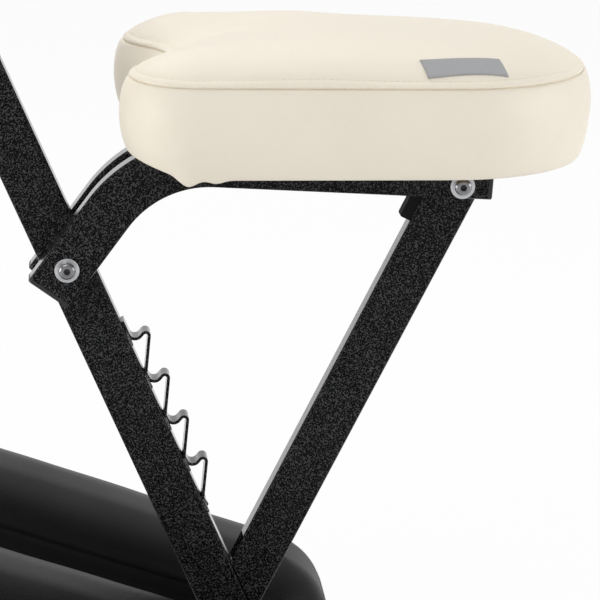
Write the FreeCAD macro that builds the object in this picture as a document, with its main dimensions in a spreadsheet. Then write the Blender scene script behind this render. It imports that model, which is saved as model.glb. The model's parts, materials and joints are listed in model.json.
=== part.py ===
"""Folding massage chair: square-cut steel tube frame with padded seat, knee rest, chest pad,
armrest and face cradle. Millimetres, +Z up, +X to the rear, origin on the floor mid-length."""
import FreeCAD, Part
import Sketcher
import math
import os

os.makedirs("parts", exist_ok=True)
doc = FreeCAD.newDocument("MassageChair")
V = FreeCAD.Vector
ACROSS = V(0, 1, 0)

# Driving dimensions, in millimetres and degrees
SIZES = [
    # frame tube: the wide side lies in the chair's side view
    ("tube_width", 40), ("tube_depth", 20), ("tube_wall", 1.5), ("tube_corner", 3),
    ("leg_width", 35), ("leg_depth", 19), ("run_gap", 0.6),
    # main post and the seat's front pivot on it
    ("pivot_x", 24.2), ("pivot_height", 430), ("post_lean", 22.5), ("post_top", 600),
    # rack and catch of the seat strut, measured down the post from the pivot
    ("strip_width", 16), ("strip_thick", 2.5), ("tooth_first", 86), ("tooth_pitch", 40),
    ("tooth_height", 18), ("tooth_hook", 10), ("tooth_over", 4.2), ("valley_bend", 5.8),
    ("tip_bend", 3), ("ramp_bend", 3), ("rack_tail", 22), ("catch_tooth", 324),
    ("catch_flat", 26),
    # floor members
    ("floor_gap", 6), ("skid_reach", 145), ("rear_foot_length", 370), ("front_foot_length", 500),
    ("cap_wall", 4), ("cap_grip", 36),
    # front leg and knee rest
    ("plate_thick", 5), ("leg_hinge_up", 230), ("leg_hinge_off", 72), ("leg_lean", 22.4),
    ("knee_slope", 20.3), ("knee_hinge_off", 35), ("knee_hinge_up", 60.6), ("cross_dia", 20),
    ("bar_dia", 16), ("rest_gap", 0.3), ("rail_front", 30), ("rail_rear", 86), ("rail_y", 118),
    ("board_thick", 12), ("knee_length", 400), ("knee_width", 155), ("knee_thick", 68),
    ("knee_rear", 98), ("knee_corner", 55), ("knee_round", 26), ("board_inset", 8),
    # seat
    ("seat_slope", 3.9), ("arm_rise", 93), ("arm_bend", 100), ("arm_angle", 56.9), ("arm_rear", 337),
    ("arm_front", 22.5), ("strut_pivot_x", 315.3), ("strut_pivot_drop", 9.5), ("plug_flange", 3.5),
    ("seat_front", 36), ("seat_rear", 418), ("seat_half", 140), ("lobe_radius", 58),
    ("seat_corner", 132), ("notch_depth", 34), ("seat_board_thick", 10), ("seat_hang", 2),
    ("seat_thick", 100), ("seat_round", 22), ("pad_rake", 2.2), ("rake_x", 330),
    # fasteners
    ("bolt_dia", 8), ("run_fit", 0.1), ("head_dia", 14), ("head_high", 4.4), ("washer_dia", 20),
    ("washer_thick", 1.6), ("nut_flats", 13), ("nut_high", 6.5), ("screw_dia", 5),
    ("screw_head", 10), ("screw_head_high", 3), ("screw_bite", 7), ("pin_dia", 8),
    # chest support on its sleeve
    ("sleeve_gap", 0.3), ("sleeve_wall", 3), ("sleeve_low", 400), ("sleeve_length", 80),
    ("steel_plate", 4), ("chest_plate_width", 110), ("chest_plate_length", 180), ("chest_low", 345),
    ("chest_length", 290), ("chest_width", 280), ("chest_thick", 55), ("chest_corner", 60),
    # face cradle on its mast
    ("mast_width", 30), ("mast_depth", 12), ("mast_low", 480), ("mast_hinge", 715), ("mast_over", 16),
    ("bush_flange", 6), ("bush_skirt", 40), ("cradle_lean", 40), ("cradle_off", 30),
    ("cradle_width", 260), ("cradle_length", 250), ("cradle_thick", 55), ("cradle_corner", 108),
    ("face_width", 100), ("face_length", 180), ("cradle_low", 10), ("cradle_board_thick", 10),
    ("mast_knob_up", 575),
    # armrest
    ("rest_hinge_up", 330), ("rest_hinge_off", 45), ("rest_reach", 270), ("rest_width", 160),
    ("rest_length", 480), ("rest_thick", 50), ("rest_corner", 50), ("rest_plate_width", 120),
    ("rest_plate_length", 90),
    # clamping knob
    ("knob_dia", 38), ("knob_high", 16), ("knob_hub", 20), ("knob_hub_high", 7), ("lobe_cut", 12),
    ("knob_lobes", 6),
    # rubber buffer on the strut
    ("buffer_down", 20), ("buffer_long", 28), ("buffer_high", 9),
]

sheet = doc.addObject("Spreadsheet::Sheet", "Sizes")
for row, (alias, number) in enumerate(SIZES, start=1):
    sheet.set(f"A{row}", alias)
    sheet.set(f"B{row}", str(number))
    sheet.setAlias(f"B{row}", alias)
doc.recompute()


class Dim:
    """A length with its value now and the sheet expression that gives it."""

    def __init__(self, value, text):
        self.value = float(value)
        self.text = text

    def join(self, other, sign, value):
        text = other.text if isinstance(other, Dim) else repr(float(other))
        return Dim(value, f"({self.text} {sign} {text})")

    def __add__(self, other):
        return self.join(other, "+", self.value + float(other))

    def __sub__(self, other):
        return self.join(other, "-", self.value - float(other))

    def __mul__(self, other):
        return self.join(other, "*", self.value * float(other))

    def __truediv__(self, other):
        return self.join(other, "/", self.value / float(other))

    def __float__(self):
        return self.value


SIZE = {alias: Dim(sheet.get(alias), f"Sizes.{alias}") for alias, _ in SIZES}


def dim(alias):
    """The size kept under this alias."""
    return SIZE[alias]


def num(alias):
    """That size as a plain number."""
    return SIZE[alias].value


def bind(item, name, size):
    """Drives one property of an object from the sheet."""
    item.setExpression(name, size.text)


# Places in the side view: (x, z) pairs
LEAN = math.radians(num("post_lean"))
UP_POST = (-math.sin(LEAN), math.cos(LEAN))
BACK_POST = (math.cos(LEAN), math.sin(LEAN))
PIVOT = (num("pivot_x"), num("pivot_height"))


def post_point(up, back):
    """Point on the post's middle plane: up along the post from the pivot, back from its axis."""
    return (PIVOT[0] + up * UP_POST[0] + back * BACK_POST[0],
            PIVOT[1] + up * UP_POST[1] + back * BACK_POST[1])


def place(point, turn, y=0.0):
    """Placement at a side-view point, turned about the chair's across axis."""
    return FreeCAD.Placement(V(point[0], y, point[1]), FreeCAD.Rotation(ACROSS, turn))


def post_place(up, back=0.0):
    """Frame on the post: local z runs up the post and local x to the rear."""
    return place(post_point(up, back), -num("post_lean"))


# Sketch and feature helpers
XY, XZ, YZ = "XY_Plane", "XZ_Plane", "YZ_Plane"


def new_body(label, placement):
    body = doc.addObject("PartDesign::Body", label)
    body.Label = label
    body.Placement = placement
    return body


def new_sketch(body, plane, lift=0.0):
    """Sketch on one of the body's own origin planes, lifted along the plane's normal."""
    sketch = body.newObject("Sketcher::SketchObject", body.Name + "_sketch")
    support = next(item for item in body.Origin.OriginFeatures if item.Role == plane)
    sketch.AttachmentSupport = (support, [""])
    sketch.MapMode = "FlatFace"
    sketch.AttachmentOffset = FreeCAD.Placement(V(0, 0, lift), FreeCAD.Rotation())
    return sketch


def constrain(sketch, size, *terms):
    """Adds a dimension to the sketch and drives it from the sheet."""
    index = sketch.addConstraint(Sketcher.Constraint(*terms, size.value))
    bind(sketch, f"Constraints[{index}]", size)


def rounded_rectangle(sketch, width, height, radius):
    """Rectangle with rounded corners about the sketch's origin, fully dimensioned."""
    w, h, r = width.value / 2, height.value / 2, radius.value
    corners = [(w - r, h - r, 0), (-w + r, h - r, 1), (-w + r, -h + r, 2), (w - r, -h + r, 3)]
    arcs, lines = [], []
    for x, y, quarter in corners:
        circle = Part.Circle(V(x, y, 0), V(0, 0, 1), r)
        start = quarter * math.pi / 2
        arcs.append(sketch.addGeometry(Part.ArcOfCircle(circle, start, start + math.pi / 2)))
    for arc, following in zip(arcs, arcs[1:] + arcs[:1]):
        first = sketch.getPoint(arc, 2)
        second = sketch.getPoint(following, 1)
        lines.append(sketch.addGeometry(Part.LineSegment(first, second)))
    for index, line in enumerate(lines):
        sketch.addConstraint(Sketcher.Constraint("Tangent", arcs[index], 2, line, 1))
        sketch.addConstraint(Sketcher.Constraint("Tangent", line, 2, arcs[(index + 1) % 4], 1))
        side = "Horizontal" if index % 2 == 0 else "Vertical"
        sketch.addConstraint(Sketcher.Constraint(side, line))
    for arc in arcs[1:]:
        sketch.addConstraint(Sketcher.Constraint("Equal", arcs[0], arc))
    constrain(sketch, radius, "Radius", arcs[0])
    constrain(sketch, width, "DistanceX", lines[1], 1, lines[3], 1)
    constrain(sketch, height, "DistanceY", lines[2], 1, lines[0], 1)
    constrain(sketch, width / 2, "DistanceX", -1, 1, lines[3], 1)
    constrain(sketch, height / 2, "DistanceY", -1, 1, lines[0], 1)


def circle(sketch, diameter, x=0.0, y=0.0):
    """Circle whose diameter is driven from the sheet."""
    item = sketch.addGeometry(Part.Circle(V(x, y, 0), V(0, 0, 1), diameter.value / 2))
    constrain(sketch, diameter, "Diameter", item)


def polygon(sketch, points):
    """Closed outline of straight lines."""
    for first, second in zip(points, points[1:] + points[:1]):
        sketch.addGeometry(Part.LineSegment(V(*first, 0), V(*second, 0)))


def pad(body, sketch, length, both_ways=False, reverse=False):
    feature = body.newObject("PartDesign::Pad", body.Name + "_pad")
    feature.Profile = sketch
    feature.SideType = "Symmetric" if both_ways else "One side"
    feature.Reversed = reverse
    bind(feature, "Length", length)
    sketch.Visibility = False
    return feature


def pocket(body, sketch, length=None, reverse=False):
    """Cut of the given depth, or right through both ways when no depth is given."""
    doc.recompute()
    before = body.Shape.Volume
    feature = body.newObject("PartDesign::Pocket", body.Name + "_pocket")
    feature.Profile = sketch
    feature.Reversed = reverse
    if length is None:
        feature.Type = "ThroughAll"
        feature.SideType = "Symmetric"
    else:
        bind(feature, "Length", length)
    doc.recompute()
    if body.Shape.Volume > before - 0.01:
        raise RuntimeError(f"{body.Label}: a pocket cuts nothing")
    return feature


def drill(body, plane, diameter, spots, length=None, reverse=False, lift=0.0):
    """Round holes at the given spots of one origin plane."""
    sketch = new_sketch(body, plane, lift)
    for x, y in spots:
        circle(sketch, diameter, x, y)
    return pocket(body, sketch, length, reverse)


def round_edges(body, radius, chosen):
    """Fillet on the edges that the test picks."""
    doc.recompute()
    base = body.Tip
    names = [f"Edge{i}" for i, edge in enumerate(base.Shape.Edges, start=1) if chosen(edge)]
    feature = body.newObject("PartDesign::Fillet", body.Name + "_fillet")
    feature.Base = (base, names)
    bind(feature, "Radius", radius)
    return feature


def at_height(z):
    """Test for edges that lie in the local plane at this height."""
    return lambda edge: all(abs(vertex.Z - z) < 1e-4 for vertex in edge.Vertexes)


# Finished pieces, by the name of their file
PIECES = {}


def keep(item, label=None):
    """Marks a document object as one finished piece."""
    item.Label = label or item.Label
    PIECES[item.Label] = item
    return item


def mirror(label, source):
    """The same piece on the chair's other side."""
    item = doc.addObject("Part::Mirroring", label)
    item.Source = source
    item.Normal = ACROSS
    return item


def group(label, items):
    """Like pieces that share one name, as separate solids."""
    item = doc.addObject("Part::Compound", label)
    item.Links = items
    return keep(item, label)


def tube(label, placement, length, width, depth):
    """Hollow tube along local z: its width along local x and its depth across the chair."""
    body = new_body(label, placement)
    wall = dim("tube_wall") * 2
    sketch = new_sketch(body, XY)
    rounded_rectangle(sketch, width, depth, dim("tube_corner"))
    rounded_rectangle(sketch, width - wall, depth - wall, dim("tube_corner") - dim("tube_wall"))
    pad(body, sketch, length)
    return body


def plug(label, placement, width, depth):
    """Plastic end plug: a flange on the tube's end and a skirt inside, flange towards local +z."""
    body = new_body(label, placement)
    wall = dim("tube_wall") * 2
    flange = new_sketch(body, XY)
    rounded_rectangle(flange, width, depth, dim("tube_corner"))
    pad(body, flange, dim("plug_flange"))
    skirt = new_sketch(body, XY)
    rounded_rectangle(skirt, width - wall, depth - wall, dim("tube_corner") - dim("tube_wall"))
    pad(body, skirt, dim("plug_flange") * 3, reverse=True)
    round_edges(body, dim("tube_wall"), at_height(num("plug_flange")))
    return body


def plate(label, placement, width, depth, thick, corner, lift=0.0):
    """Flat sheet or board with rounded corners, thick along local z."""
    body = new_body(label, placement)
    sketch = new_sketch(body, XY, lift)
    rounded_rectangle(sketch, width, depth, corner)
    pad(body, sketch, thick)
    return body


def cushion(label, placement, width, depth, thick, corner, board):
    """Padded block on its board: it wraps the board's sides, and its upper edges are rounded."""
    body = new_body(label, placement)
    sketch = new_sketch(body, XY)
    rounded_rectangle(sketch, width, depth, corner)
    pad(body, sketch, thick + board)
    recess = new_sketch(body, XY)
    inset = dim("board_inset") * 2
    rounded_rectangle(recess, width - inset, depth - inset, corner - dim("board_inset"))
    pocket(body, recess, board, reverse=True)
    round_edges(body, dim("knee_round"), at_height((thick + board).value))
    return body


def hinge_cheek(label, up, off, near, hole):
    """Flat cheek welded on the post's side, reaching forward to a hinge axis."""
    body = new_body(label, place(post_point(up, 0), -num("post_lean"), near))
    root = num("tube_width") / 2 - num("tube_corner")
    end = hole.value / 2 + num("plate_thick") * 1.6
    sketch = new_sketch(body, XZ)
    foot = end * 1.5
    sketch.addGeometry(Part.LineSegment(V(-off, end, 0), V(root, foot, 0)))
    sketch.addGeometry(Part.LineSegment(V(root, foot, 0), V(root, -foot, 0)))
    sketch.addGeometry(Part.LineSegment(V(root, -foot, 0), V(-off, -end, 0)))
    eye = Part.Arc(V(-off, -end, 0), V(-off - end, 0, 0), V(-off, end, 0))
    sketch.addGeometry(eye)
    circle(sketch, hole, -off, 0)
    pad(body, sketch, dim("plate_thick"), reverse=True)
    return body


def cheek_pair(label, up, off, hole):
    """Both cheeks of a hinge, one on each side of the post."""
    one = hinge_cheek(label + "_one", up, off, num("tube_depth") / 2, hole)
    doc.recompute()
    return group(label, [one, mirror(label + "_other", one)])


def ring(outer, inner, thick, y):
    """Washer about the across axis, from y outwards."""
    disc = Part.makeCylinder(outer / 2, thick, V(0, y, 0), ACROSS)
    return disc.cut(Part.makeCylinder(inner / 2, thick, V(0, y, 0), ACROSS))


def hexagon(flats, thick, y):
    """Hexagonal prism about the across axis."""
    points = [V(flats / math.sqrt(3) * math.cos(math.radians(60 * i)), y,
                flats / math.sqrt(3) * math.sin(math.radians(60 * i))) for i in range(7)]
    return Part.Face(Part.makePolygon(points)).extrude(V(0, thick, 0))


def cross_bolt(label, point, grip):
    """Button head bolt across the chair with its two washers and nut, clamped width 2 x grip."""
    dia, thick = num("bolt_dia"), num("washer_thick")
    head_y = -grip - thick
    nut_y = grip + thick
    length = 2 * (grip + thick) + num("nut_high")
    shank = Part.makeCylinder(dia / 2, length, V(0, head_y, 0), ACROSS)
    head = Part.makeCylinder(num("head_dia") / 2, num("head_high"), V(0, head_y, 0), -ACROSS)
    rim = [edge for edge in head.Edges if edge.Vertexes[0].Y < head_y - num("head_high") / 2
           and edge.Closed]
    head = head.makeFillet(num("head_high") * 0.6, rim[:1])
    socket = hexagon(dia * 0.62, num("head_high") * 0.55, head_y - num("head_high"))
    bolt = shank.fuse(head.cut(socket)).removeSplitter()
    nut = hexagon(num("nut_flats"), num("nut_high"), nut_y).cut(shank)
    washers = [ring(num("washer_dia"), dia, thick, head_y), ring(num("washer_dia"), dia, thick, grip)]
    item = doc.addObject("Part::Feature", label)
    item.Shape = Part.Compound([bolt, nut] + washers)
    item.Placement = place(point, 0)
    return keep(item, label)


def screws(label, placement, spots, grip):
    """Pan head screws at (x, y) spots: heads under the local plane z = 0, through grip into a board."""
    solids = []
    for x, y in spots:
        head = Part.makeCylinder(num("screw_head") / 2, num("screw_head_high"), V(x, y, 0), V(0, 0, -1))
        bite = grip.value + num("screw_bite")
        shank = Part.makeCylinder(num("screw_dia") / 2, bite, V(x, y, 0), V(0, 0, 1))
        solids.append(head.fuse(shank).removeSplitter())
    item = doc.addObject("Part::Feature", label)
    item.Shape = Part.Compound(solids)
    item.Placement = placement
    return keep(item, label)


def star_knob(label, placement, stud):
    """Lobed clamping knob on a threaded stud: local z points out of the clamp, z = 0 at the hub."""
    body = new_body(label, placement)
    hub = new_sketch(body, XY)
    circle(hub, dim("knob_hub"))
    pad(body, hub, dim("knob_hub_high"))
    grip = new_sketch(body, XY, num("knob_hub_high"))
    circle(grip, dim("knob_dia"))
    pad(body, grip, dim("knob_high"))
    round_edges(body, dim("knob_hub_high") / 3, at_height(num("knob_hub_high") + num("knob_high")))
    cut = drill(body, XY, dim("lobe_cut"), [(num("knob_dia") / 2 + num("lobe_cut") / 4, 0)],
                dim("knob_high"), reverse=True, lift=num("knob_hub_high"))
    pattern = body.newObject("PartDesign::PolarPattern", body.Name + "_lobes")
    pattern.Originals = [cut]
    axis = next(item for item in body.Origin.OriginFeatures if item.Role == "Z_Axis")
    pattern.Axis = (axis, [""])
    pattern.Occurrences = int(num("knob_lobes"))
    body.Tip = pattern
    doc.recompute()
    shaft = new_sketch(body, XY)
    circle(shaft, dim("bolt_dia"))
    pad(body, shaft, Dim(stud, repr(float(stud))), reverse=True)
    return keep(body)


# Main post: a long tube, cut level where it stands on the skid
width, depth = dim("tube_width"), dim("tube_depth")
half_width, half_depth = width.value / 2, depth.value / 2
foot_top = num("floor_gap") + depth.value
post_below = (PIVOT[1] - foot_top) / math.cos(LEAN) + half_width * math.tan(LEAN)
post_length = Dim(num("post_top") + post_below, f"(Sizes.post_top + {post_below})")
post = tube("main_post", post_place(-post_below), post_length, width, depth)
cut_level = new_sketch(post, XZ)
rise = half_width * math.tan(LEAN)
polygon(cut_level, [(-half_width, 2 * rise), (half_width, 0), (half_width, -rise), (-half_width, -rise)])
pocket(post, cut_level)
drill(post, XZ, dim("bolt_dia"), [(0, post_below)])
mast_knob_hole = dim("bolt_dia") + dim("run_fit")
drill(post, YZ, mast_knob_hole, [(0, post_below + num("mast_knob_up"))], dim("tube_width"))
keep(post)


def bends(points, radii):
    """Rounded corners of an open line: where each starts and ends, its middle, side and radius."""
    found = []
    for before, at, after, radius in zip(points, points[1:], points[2:], radii):
        runs = [(b[0] - a[0], b[1] - a[1]) for a, b in ((before, at), (at, after))]
        ways = [(x / math.hypot(x, y), y / math.hypot(x, y)) for x, y in runs]
        turn = math.atan2(ways[0][0] * ways[1][1] - ways[0][1] * ways[1][0],
                          ways[0][0] * ways[1][0] + ways[0][1] * ways[1][1])
        cut = radius * math.tan(abs(turn) / 2)
        side = math.copysign(1, turn)
        first = (at[0] - ways[0][0] * cut, at[1] - ways[0][1] * cut)
        last = (at[0] + ways[1][0] * cut, at[1] + ways[1][1] * cut)
        centre = (first[0] - ways[0][1] * radius * side, first[1] + ways[0][0] * radius * side)
        found.append((first, last, centre, side, ways, radius))
    return found


def bent_strip(sketch, points, radii, thick):
    """Outline of a bent strip along the line through its thickness."""
    corners = bends(points, radii)
    ways = [corners[0][4][0]] + [corner[4][1] for corner in corners]
    ends = []
    for offset in (thick / 2, -thick / 2):
        def beside(point, way):
            return V(point[0] - way[1] * offset, point[1] + way[0] * offset, 0)

        cursor = beside(points[0], ways[0])
        ends.append(cursor)
        for first, last, centre, side, way, radius in corners:
            start, stop = beside(first, way[0]), beside(last, way[1])
            middle = V(*centre, 0)
            bulge = (start + stop) * 0.5 - middle
            bulge.normalize()
            sketch.addGeometry(Part.LineSegment(cursor, start))
            sketch.addGeometry(Part.Arc(start, middle + bulge * (radius - side * offset), stop))
            cursor = stop
        stop = beside(points[-1], ways[-1])
        sketch.addGeometry(Part.LineSegment(cursor, stop))
        ends.append(stop)
    sketch.addGeometry(Part.LineSegment(ends[0], ends[2]))
    sketch.addGeometry(Part.LineSegment(ends[1], ends[3]))


def toothed_strip(label, start, feet):
    """Strip bent to hooked teeth on the post's rear face; start and feet are measured down the post."""
    base = half_width + num("strip_thick") / 2
    tip = half_width + num("tooth_height") + num("tooth_over") - num("strip_thick") / 2
    ramp = num("tooth_pitch") * 0.66
    line, radii = [(base, -start)], []
    for foot in feet:
        line += [(base, -foot), (tip, -foot + num("tooth_hook")), (base, -foot - ramp)]
        radii += [num("valley_bend"), num("tip_bend"), num("ramp_bend")]
    line.append((base, -feet[-1] - num("tooth_pitch") * 0.8))
    body = new_body(label, post_place(0))
    sketch = new_sketch(body, XZ)
    bent_strip(sketch, line, radii, num("strip_thick"))
    pad(body, sketch, dim("strip_width"), both_ways=True)
    return keep(body)


teeth = [num("tooth_first") + i * num("tooth_pitch") for i in range(4)]
toothed_strip("seat_rack", teeth[0] - num("rack_tail"), teeth)
toothed_strip("strut_catch", num("catch_tooth") - num("catch_flat"), [num("catch_tooth")])

# Floor members behind the post
post_foot = post_point(-post_below + rise, 0)
floor_mid = num("floor_gap") + half_depth
skid_front = post_foot[0] - width.value
rear_foot_x = post_foot[0] + num("skid_reach") + half_width
to_rear = place((skid_front, floor_mid), 90)
skid_length = Dim(rear_foot_x - half_width - skid_front,
                  f"(Sizes.skid_reach + {width.text})")
keep(tube("rear_skid", to_rear, skid_length, depth, width))
skid_end = place((skid_front, floor_mid), -90)
keep(plug("skid_plug", skid_end, depth, width))


def floor_tube(label, x, length):
    """Foot tube lying across the chair, its wide side on the floor."""
    turn = FreeCAD.Rotation(V(1, 0, 0), 90)
    body = tube(label, FreeCAD.Placement(V(x, length.value / 2, floor_mid), turn), length, width, depth)
    return keep(body)


def foot_caps(label, x, length):
    """Rubber caps over both ends of a foot tube, standing on the floor."""
    wall = dim("cap_wall")
    end = -length.value / 2 - wall.value
    turn = FreeCAD.Rotation(V(1, 0, 0), -90)
    body = new_body(label + "_one", FreeCAD.Placement(V(x, end, floor_mid), turn))
    shell = new_sketch(body, XY)
    rounded_rectangle(shell, width + wall * 2, depth + dim("floor_gap") * 2, dim("floor_gap"))
    pad(body, shell, dim("cap_grip") + wall)
    hollow = new_sketch(body, XY, wall.value)
    rounded_rectangle(hollow, width, depth, dim("tube_corner"))
    pocket(body, hollow, dim("cap_grip"), reverse=True)
    round_edges(body, wall / 2, at_height(0))
    doc.recompute()
    return group(label, [body, mirror(label + "_other", body)])


floor_tube("rear_foot_tube", rear_foot_x, dim("rear_foot_length"))
foot_caps("rear_foot_caps", rear_foot_x, dim("rear_foot_length"))

# Hinge cheeks and through bolts on the post
bolt_hole = dim("bolt_dia")
free_hole = dim("bolt_dia") + dim("run_fit")
leg_hinge = post_point(num("leg_hinge_up"), -num("leg_hinge_off"))
knee_hinge_down = post_below - num("knee_hinge_up")
knee_hinge = post_point(-knee_hinge_down, -num("knee_hinge_off"))
rest_hinge = post_point(num("rest_hinge_up"), -num("rest_hinge_off"))
cheek_pair("leg_hinge_cheeks", num("leg_hinge_up"), num("leg_hinge_off"), bolt_hole)
cheek_pair("knee_hinge_cheeks", -knee_hinge_down, num("knee_hinge_off"),
           dim("cross_dia") + dim("run_fit"))
cheek_pair("armrest_cheeks", num("rest_hinge_up"), num("rest_hinge_off"), free_hole)
cheek_out = half_depth + num("plate_thick")
cross_bolt("leg_pivot_bolt", leg_hinge, cheek_out)
arm_out = half_depth + num("run_gap") + depth.value
cross_bolt("seat_pivot_bolt", PIVOT, arm_out + num("rest_gap"))

# Front leg with its foot and the bar that carries the knee rest
leg_turn = num("leg_lean")
leg_rad = math.radians(leg_turn)
leg_down = (-math.sin(leg_rad), -math.cos(leg_rad))
leg_over = num("leg_width") / 2
leg_run = (leg_hinge[1] - foot_top) / math.cos(leg_rad)
leg_rise = leg_over * math.tan(leg_rad)
leg_length = leg_run + leg_rise + leg_over
leg_base = (leg_hinge[0] + leg_down[0] * (leg_run + leg_rise),
            leg_hinge[1] + leg_down[1] * (leg_run + leg_rise))
leg = tube("front_leg_tube", place(leg_base, leg_turn), Dim(leg_length, repr(leg_length)),
           dim("leg_width"), dim("leg_depth"))
leg_cut = new_sketch(leg, XZ)
polygon(leg_cut, [(-leg_over, 0), (leg_over, 2 * leg_rise), (leg_over, -leg_rise), (-leg_over, -leg_rise)])
pocket(leg, leg_cut)
drill(leg, XZ, free_hole, [(0, leg_run + leg_rise)])

slope = math.radians(num("knee_slope"))
ALONG_KNEE = (math.cos(slope), -math.sin(slope))
OVER_KNEE = (math.sin(slope), math.cos(slope))
bar_below = half_depth + num("bar_dia") / 2 + num("rest_gap")
hinge_over = ((leg_hinge[0] - knee_hinge[0]) * OVER_KNEE[0] + (leg_hinge[1] - knee_hinge[1]) * OVER_KNEE[1])
bar_run = (hinge_over + bar_below) / math.cos(leg_rad - slope)
bar_point = (leg_hinge[0] + leg_down[0] * bar_run, leg_hinge[1] + leg_down[1] * bar_run)
bar_along = ((bar_point[0] - knee_hinge[0]) * ALONG_KNEE[0] + (bar_point[1] - knee_hinge[1]) * ALONG_KNEE[1])
drill(leg, XZ, dim("bar_dia"), [(0, leg_run + leg_rise - bar_run)])
keep(leg)
leg_top = (leg_hinge[0] - leg_down[0] * leg_over, leg_hinge[1] - leg_down[1] * leg_over)
keep(plug("front_leg_plug", place(leg_top, leg_turn), dim("leg_width"), dim("leg_depth")))
bar = new_body("knee_rest_bar", place(bar_point, 0))
bar_sketch = new_sketch(bar, XZ)
circle(bar_sketch, dim("bar_dia"))
bar_length = (dim("rail_y") + dim("tube_width") / 2) * 2
pad(bar, bar_sketch, bar_length, both_ways=True)
keep(bar)
front_foot_x = leg_hinge[0] + leg_down[0] * leg_run
floor_tube("front_foot_tube", front_foot_x, dim("front_foot_length"))
foot_caps("front_foot_caps", front_foot_x, dim("front_foot_length"))


# Knee rest: two flat rails on a cross tube that turns in the post's cheeks
def knee_place(along, over, y=0.0, turn=0.0):
    """Frame on the knee rest: along its slope to the rear and over the rails' axis."""
    point = (knee_hinge[0] + along * ALONG_KNEE[0] + over * OVER_KNEE[0],
             knee_hinge[1] + along * ALONG_KNEE[1] + over * OVER_KNEE[1])
    return place(point, num("knee_slope") + turn, y)


rail_start = bar_along - num("rail_front")
rail_length = Dim(num("rail_rear") - rail_start, f"(Sizes.rail_rear + Sizes.rail_front - {bar_along})")
rail = tube("knee_rail_left", knee_place(rail_start, 0, -num("rail_y"), 90), rail_length, depth, width)
knee_middle = num("knee_rear") - num("knee_length") / 2
knee_screw_x = num("knee_length") * 0.36
knee_spots = [(-knee_screw_x, 0), (knee_screw_x * 0.75, 0)]
drill(rail, YZ, dim("screw_dia"), [(0, knee_middle + x - rail_start) for x, _ in knee_spots])
doc.recompute()
group("knee_rails", [rail, mirror("knee_rail_right", rail)])
cross = new_body("knee_cross_tube", knee_place(0, 0))
cross_sketch = new_sketch(cross, XZ)
circle(cross_sketch, dim("cross_dia"))
circle(cross_sketch, dim("cross_dia") - dim("tube_wall") * 4)
pad(cross, cross_sketch, (dim("rail_y") - dim("tube_width") / 2) * 2, both_ways=True)
keep(cross)
plug_front = plug("knee_plug_front", knee_place(rail_start, 0, -num("rail_y"), -90), depth, width)
plug_rear = plug("knee_plug_rear", knee_place(num("rail_rear"), 0, -num("rail_y"), 90), depth, width)
doc.recompute()
group("knee_rail_plugs", [plug_front, plug_rear, mirror("knee_plug_front_right", plug_front),
                          mirror("knee_plug_rear_right", plug_rear)])

lip = num("plate_thick")
hook_gap = num("bar_dia") / 2 + num("rest_gap")
hook = new_body("knee_hook_one", knee_place(bar_along, -half_depth, -num("rail_y")))
hook_sketch = new_sketch(hook, XZ)
hook_root = -num("rail_front") + lip
polygon(hook_sketch, [(-hook_gap, 0), (-hook_gap, -num("bar_dia")), (-hook_gap - lip, -num("bar_dia")),
                      (-hook_gap - lip, -lip), (hook_root, -lip), (hook_root, 0)])
pad(hook, hook_sketch, width, both_ways=True)
round_edges(hook, dim("plate_thick") / 3,
            lambda edge: all(vertex.Z < -num("bar_dia") + 0.01 for vertex in edge.Vertexes)
            and abs(edge.Vertexes[0].Y - edge.Vertexes[-1].Y) > 1)
doc.recompute()
group("knee_hooks", [hook, mirror("knee_hook_other", hook)])

inset = dim("board_inset") * 2
knee_frame = knee_place(knee_middle, half_depth, -num("rail_y"))
board = plate("knee_board_left", knee_frame, dim("knee_length") - inset, dim("knee_width") - inset,
              dim("board_thick"), dim("knee_corner") - dim("board_inset"))
drill(board, XY, dim("screw_dia"), knee_spots)
doc.recompute()
group("knee_boards", [board, mirror("knee_board_right", board)])
knee_pad = cushion("knee_pad_left", knee_frame, dim("knee_length"), dim("knee_width"), dim("knee_thick"),
                   dim("knee_corner"), dim("board_thick"))
keep(knee_pad)
keep(mirror("knee_pad_right", knee_pad))
screws("knee_screws", knee_place(knee_middle, -half_depth),
       [(x, side * num("rail_y")) for x, _ in knee_spots for side in (-1, 1)], depth)


# Seat: two bent arms beside the post, a board and a pad with a notch that clears the post
def seat_place(along, over, y=0.0, turn=0.0):
    """Frame on the seat: along the arms to the rear and over the front pivot."""
    angle = math.radians(num("seat_slope"))
    point = (PIVOT[0] + along * math.cos(angle) + over * math.sin(angle),
             PIVOT[1] - along * math.sin(angle) + over * math.cos(angle))
    return place(point, num("seat_slope") + turn, y)


def seat_point(along, over):
    base = seat_place(along, over).Base
    return (base.x, base.z)


arm_turn = math.radians(num("arm_angle"))
arm_y = half_depth + num("run_gap") + half_depth
bend = num("arm_bend")
knee_x = num("arm_rise") / math.tan(arm_turn)
tangent = bend * math.tan(arm_turn / 2)
straight_end = knee_x + tangent - num("arm_rear")
arc_end = (straight_end - bend * math.sin(arm_turn), -bend + bend * math.cos(arm_turn))
front_run = num("arm_rise") / math.sin(arm_turn) - tangent + num("arm_front")
front_end = (arc_end[0] - front_run * math.cos(arm_turn), arc_end[1] - front_run * math.sin(arm_turn))


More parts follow.
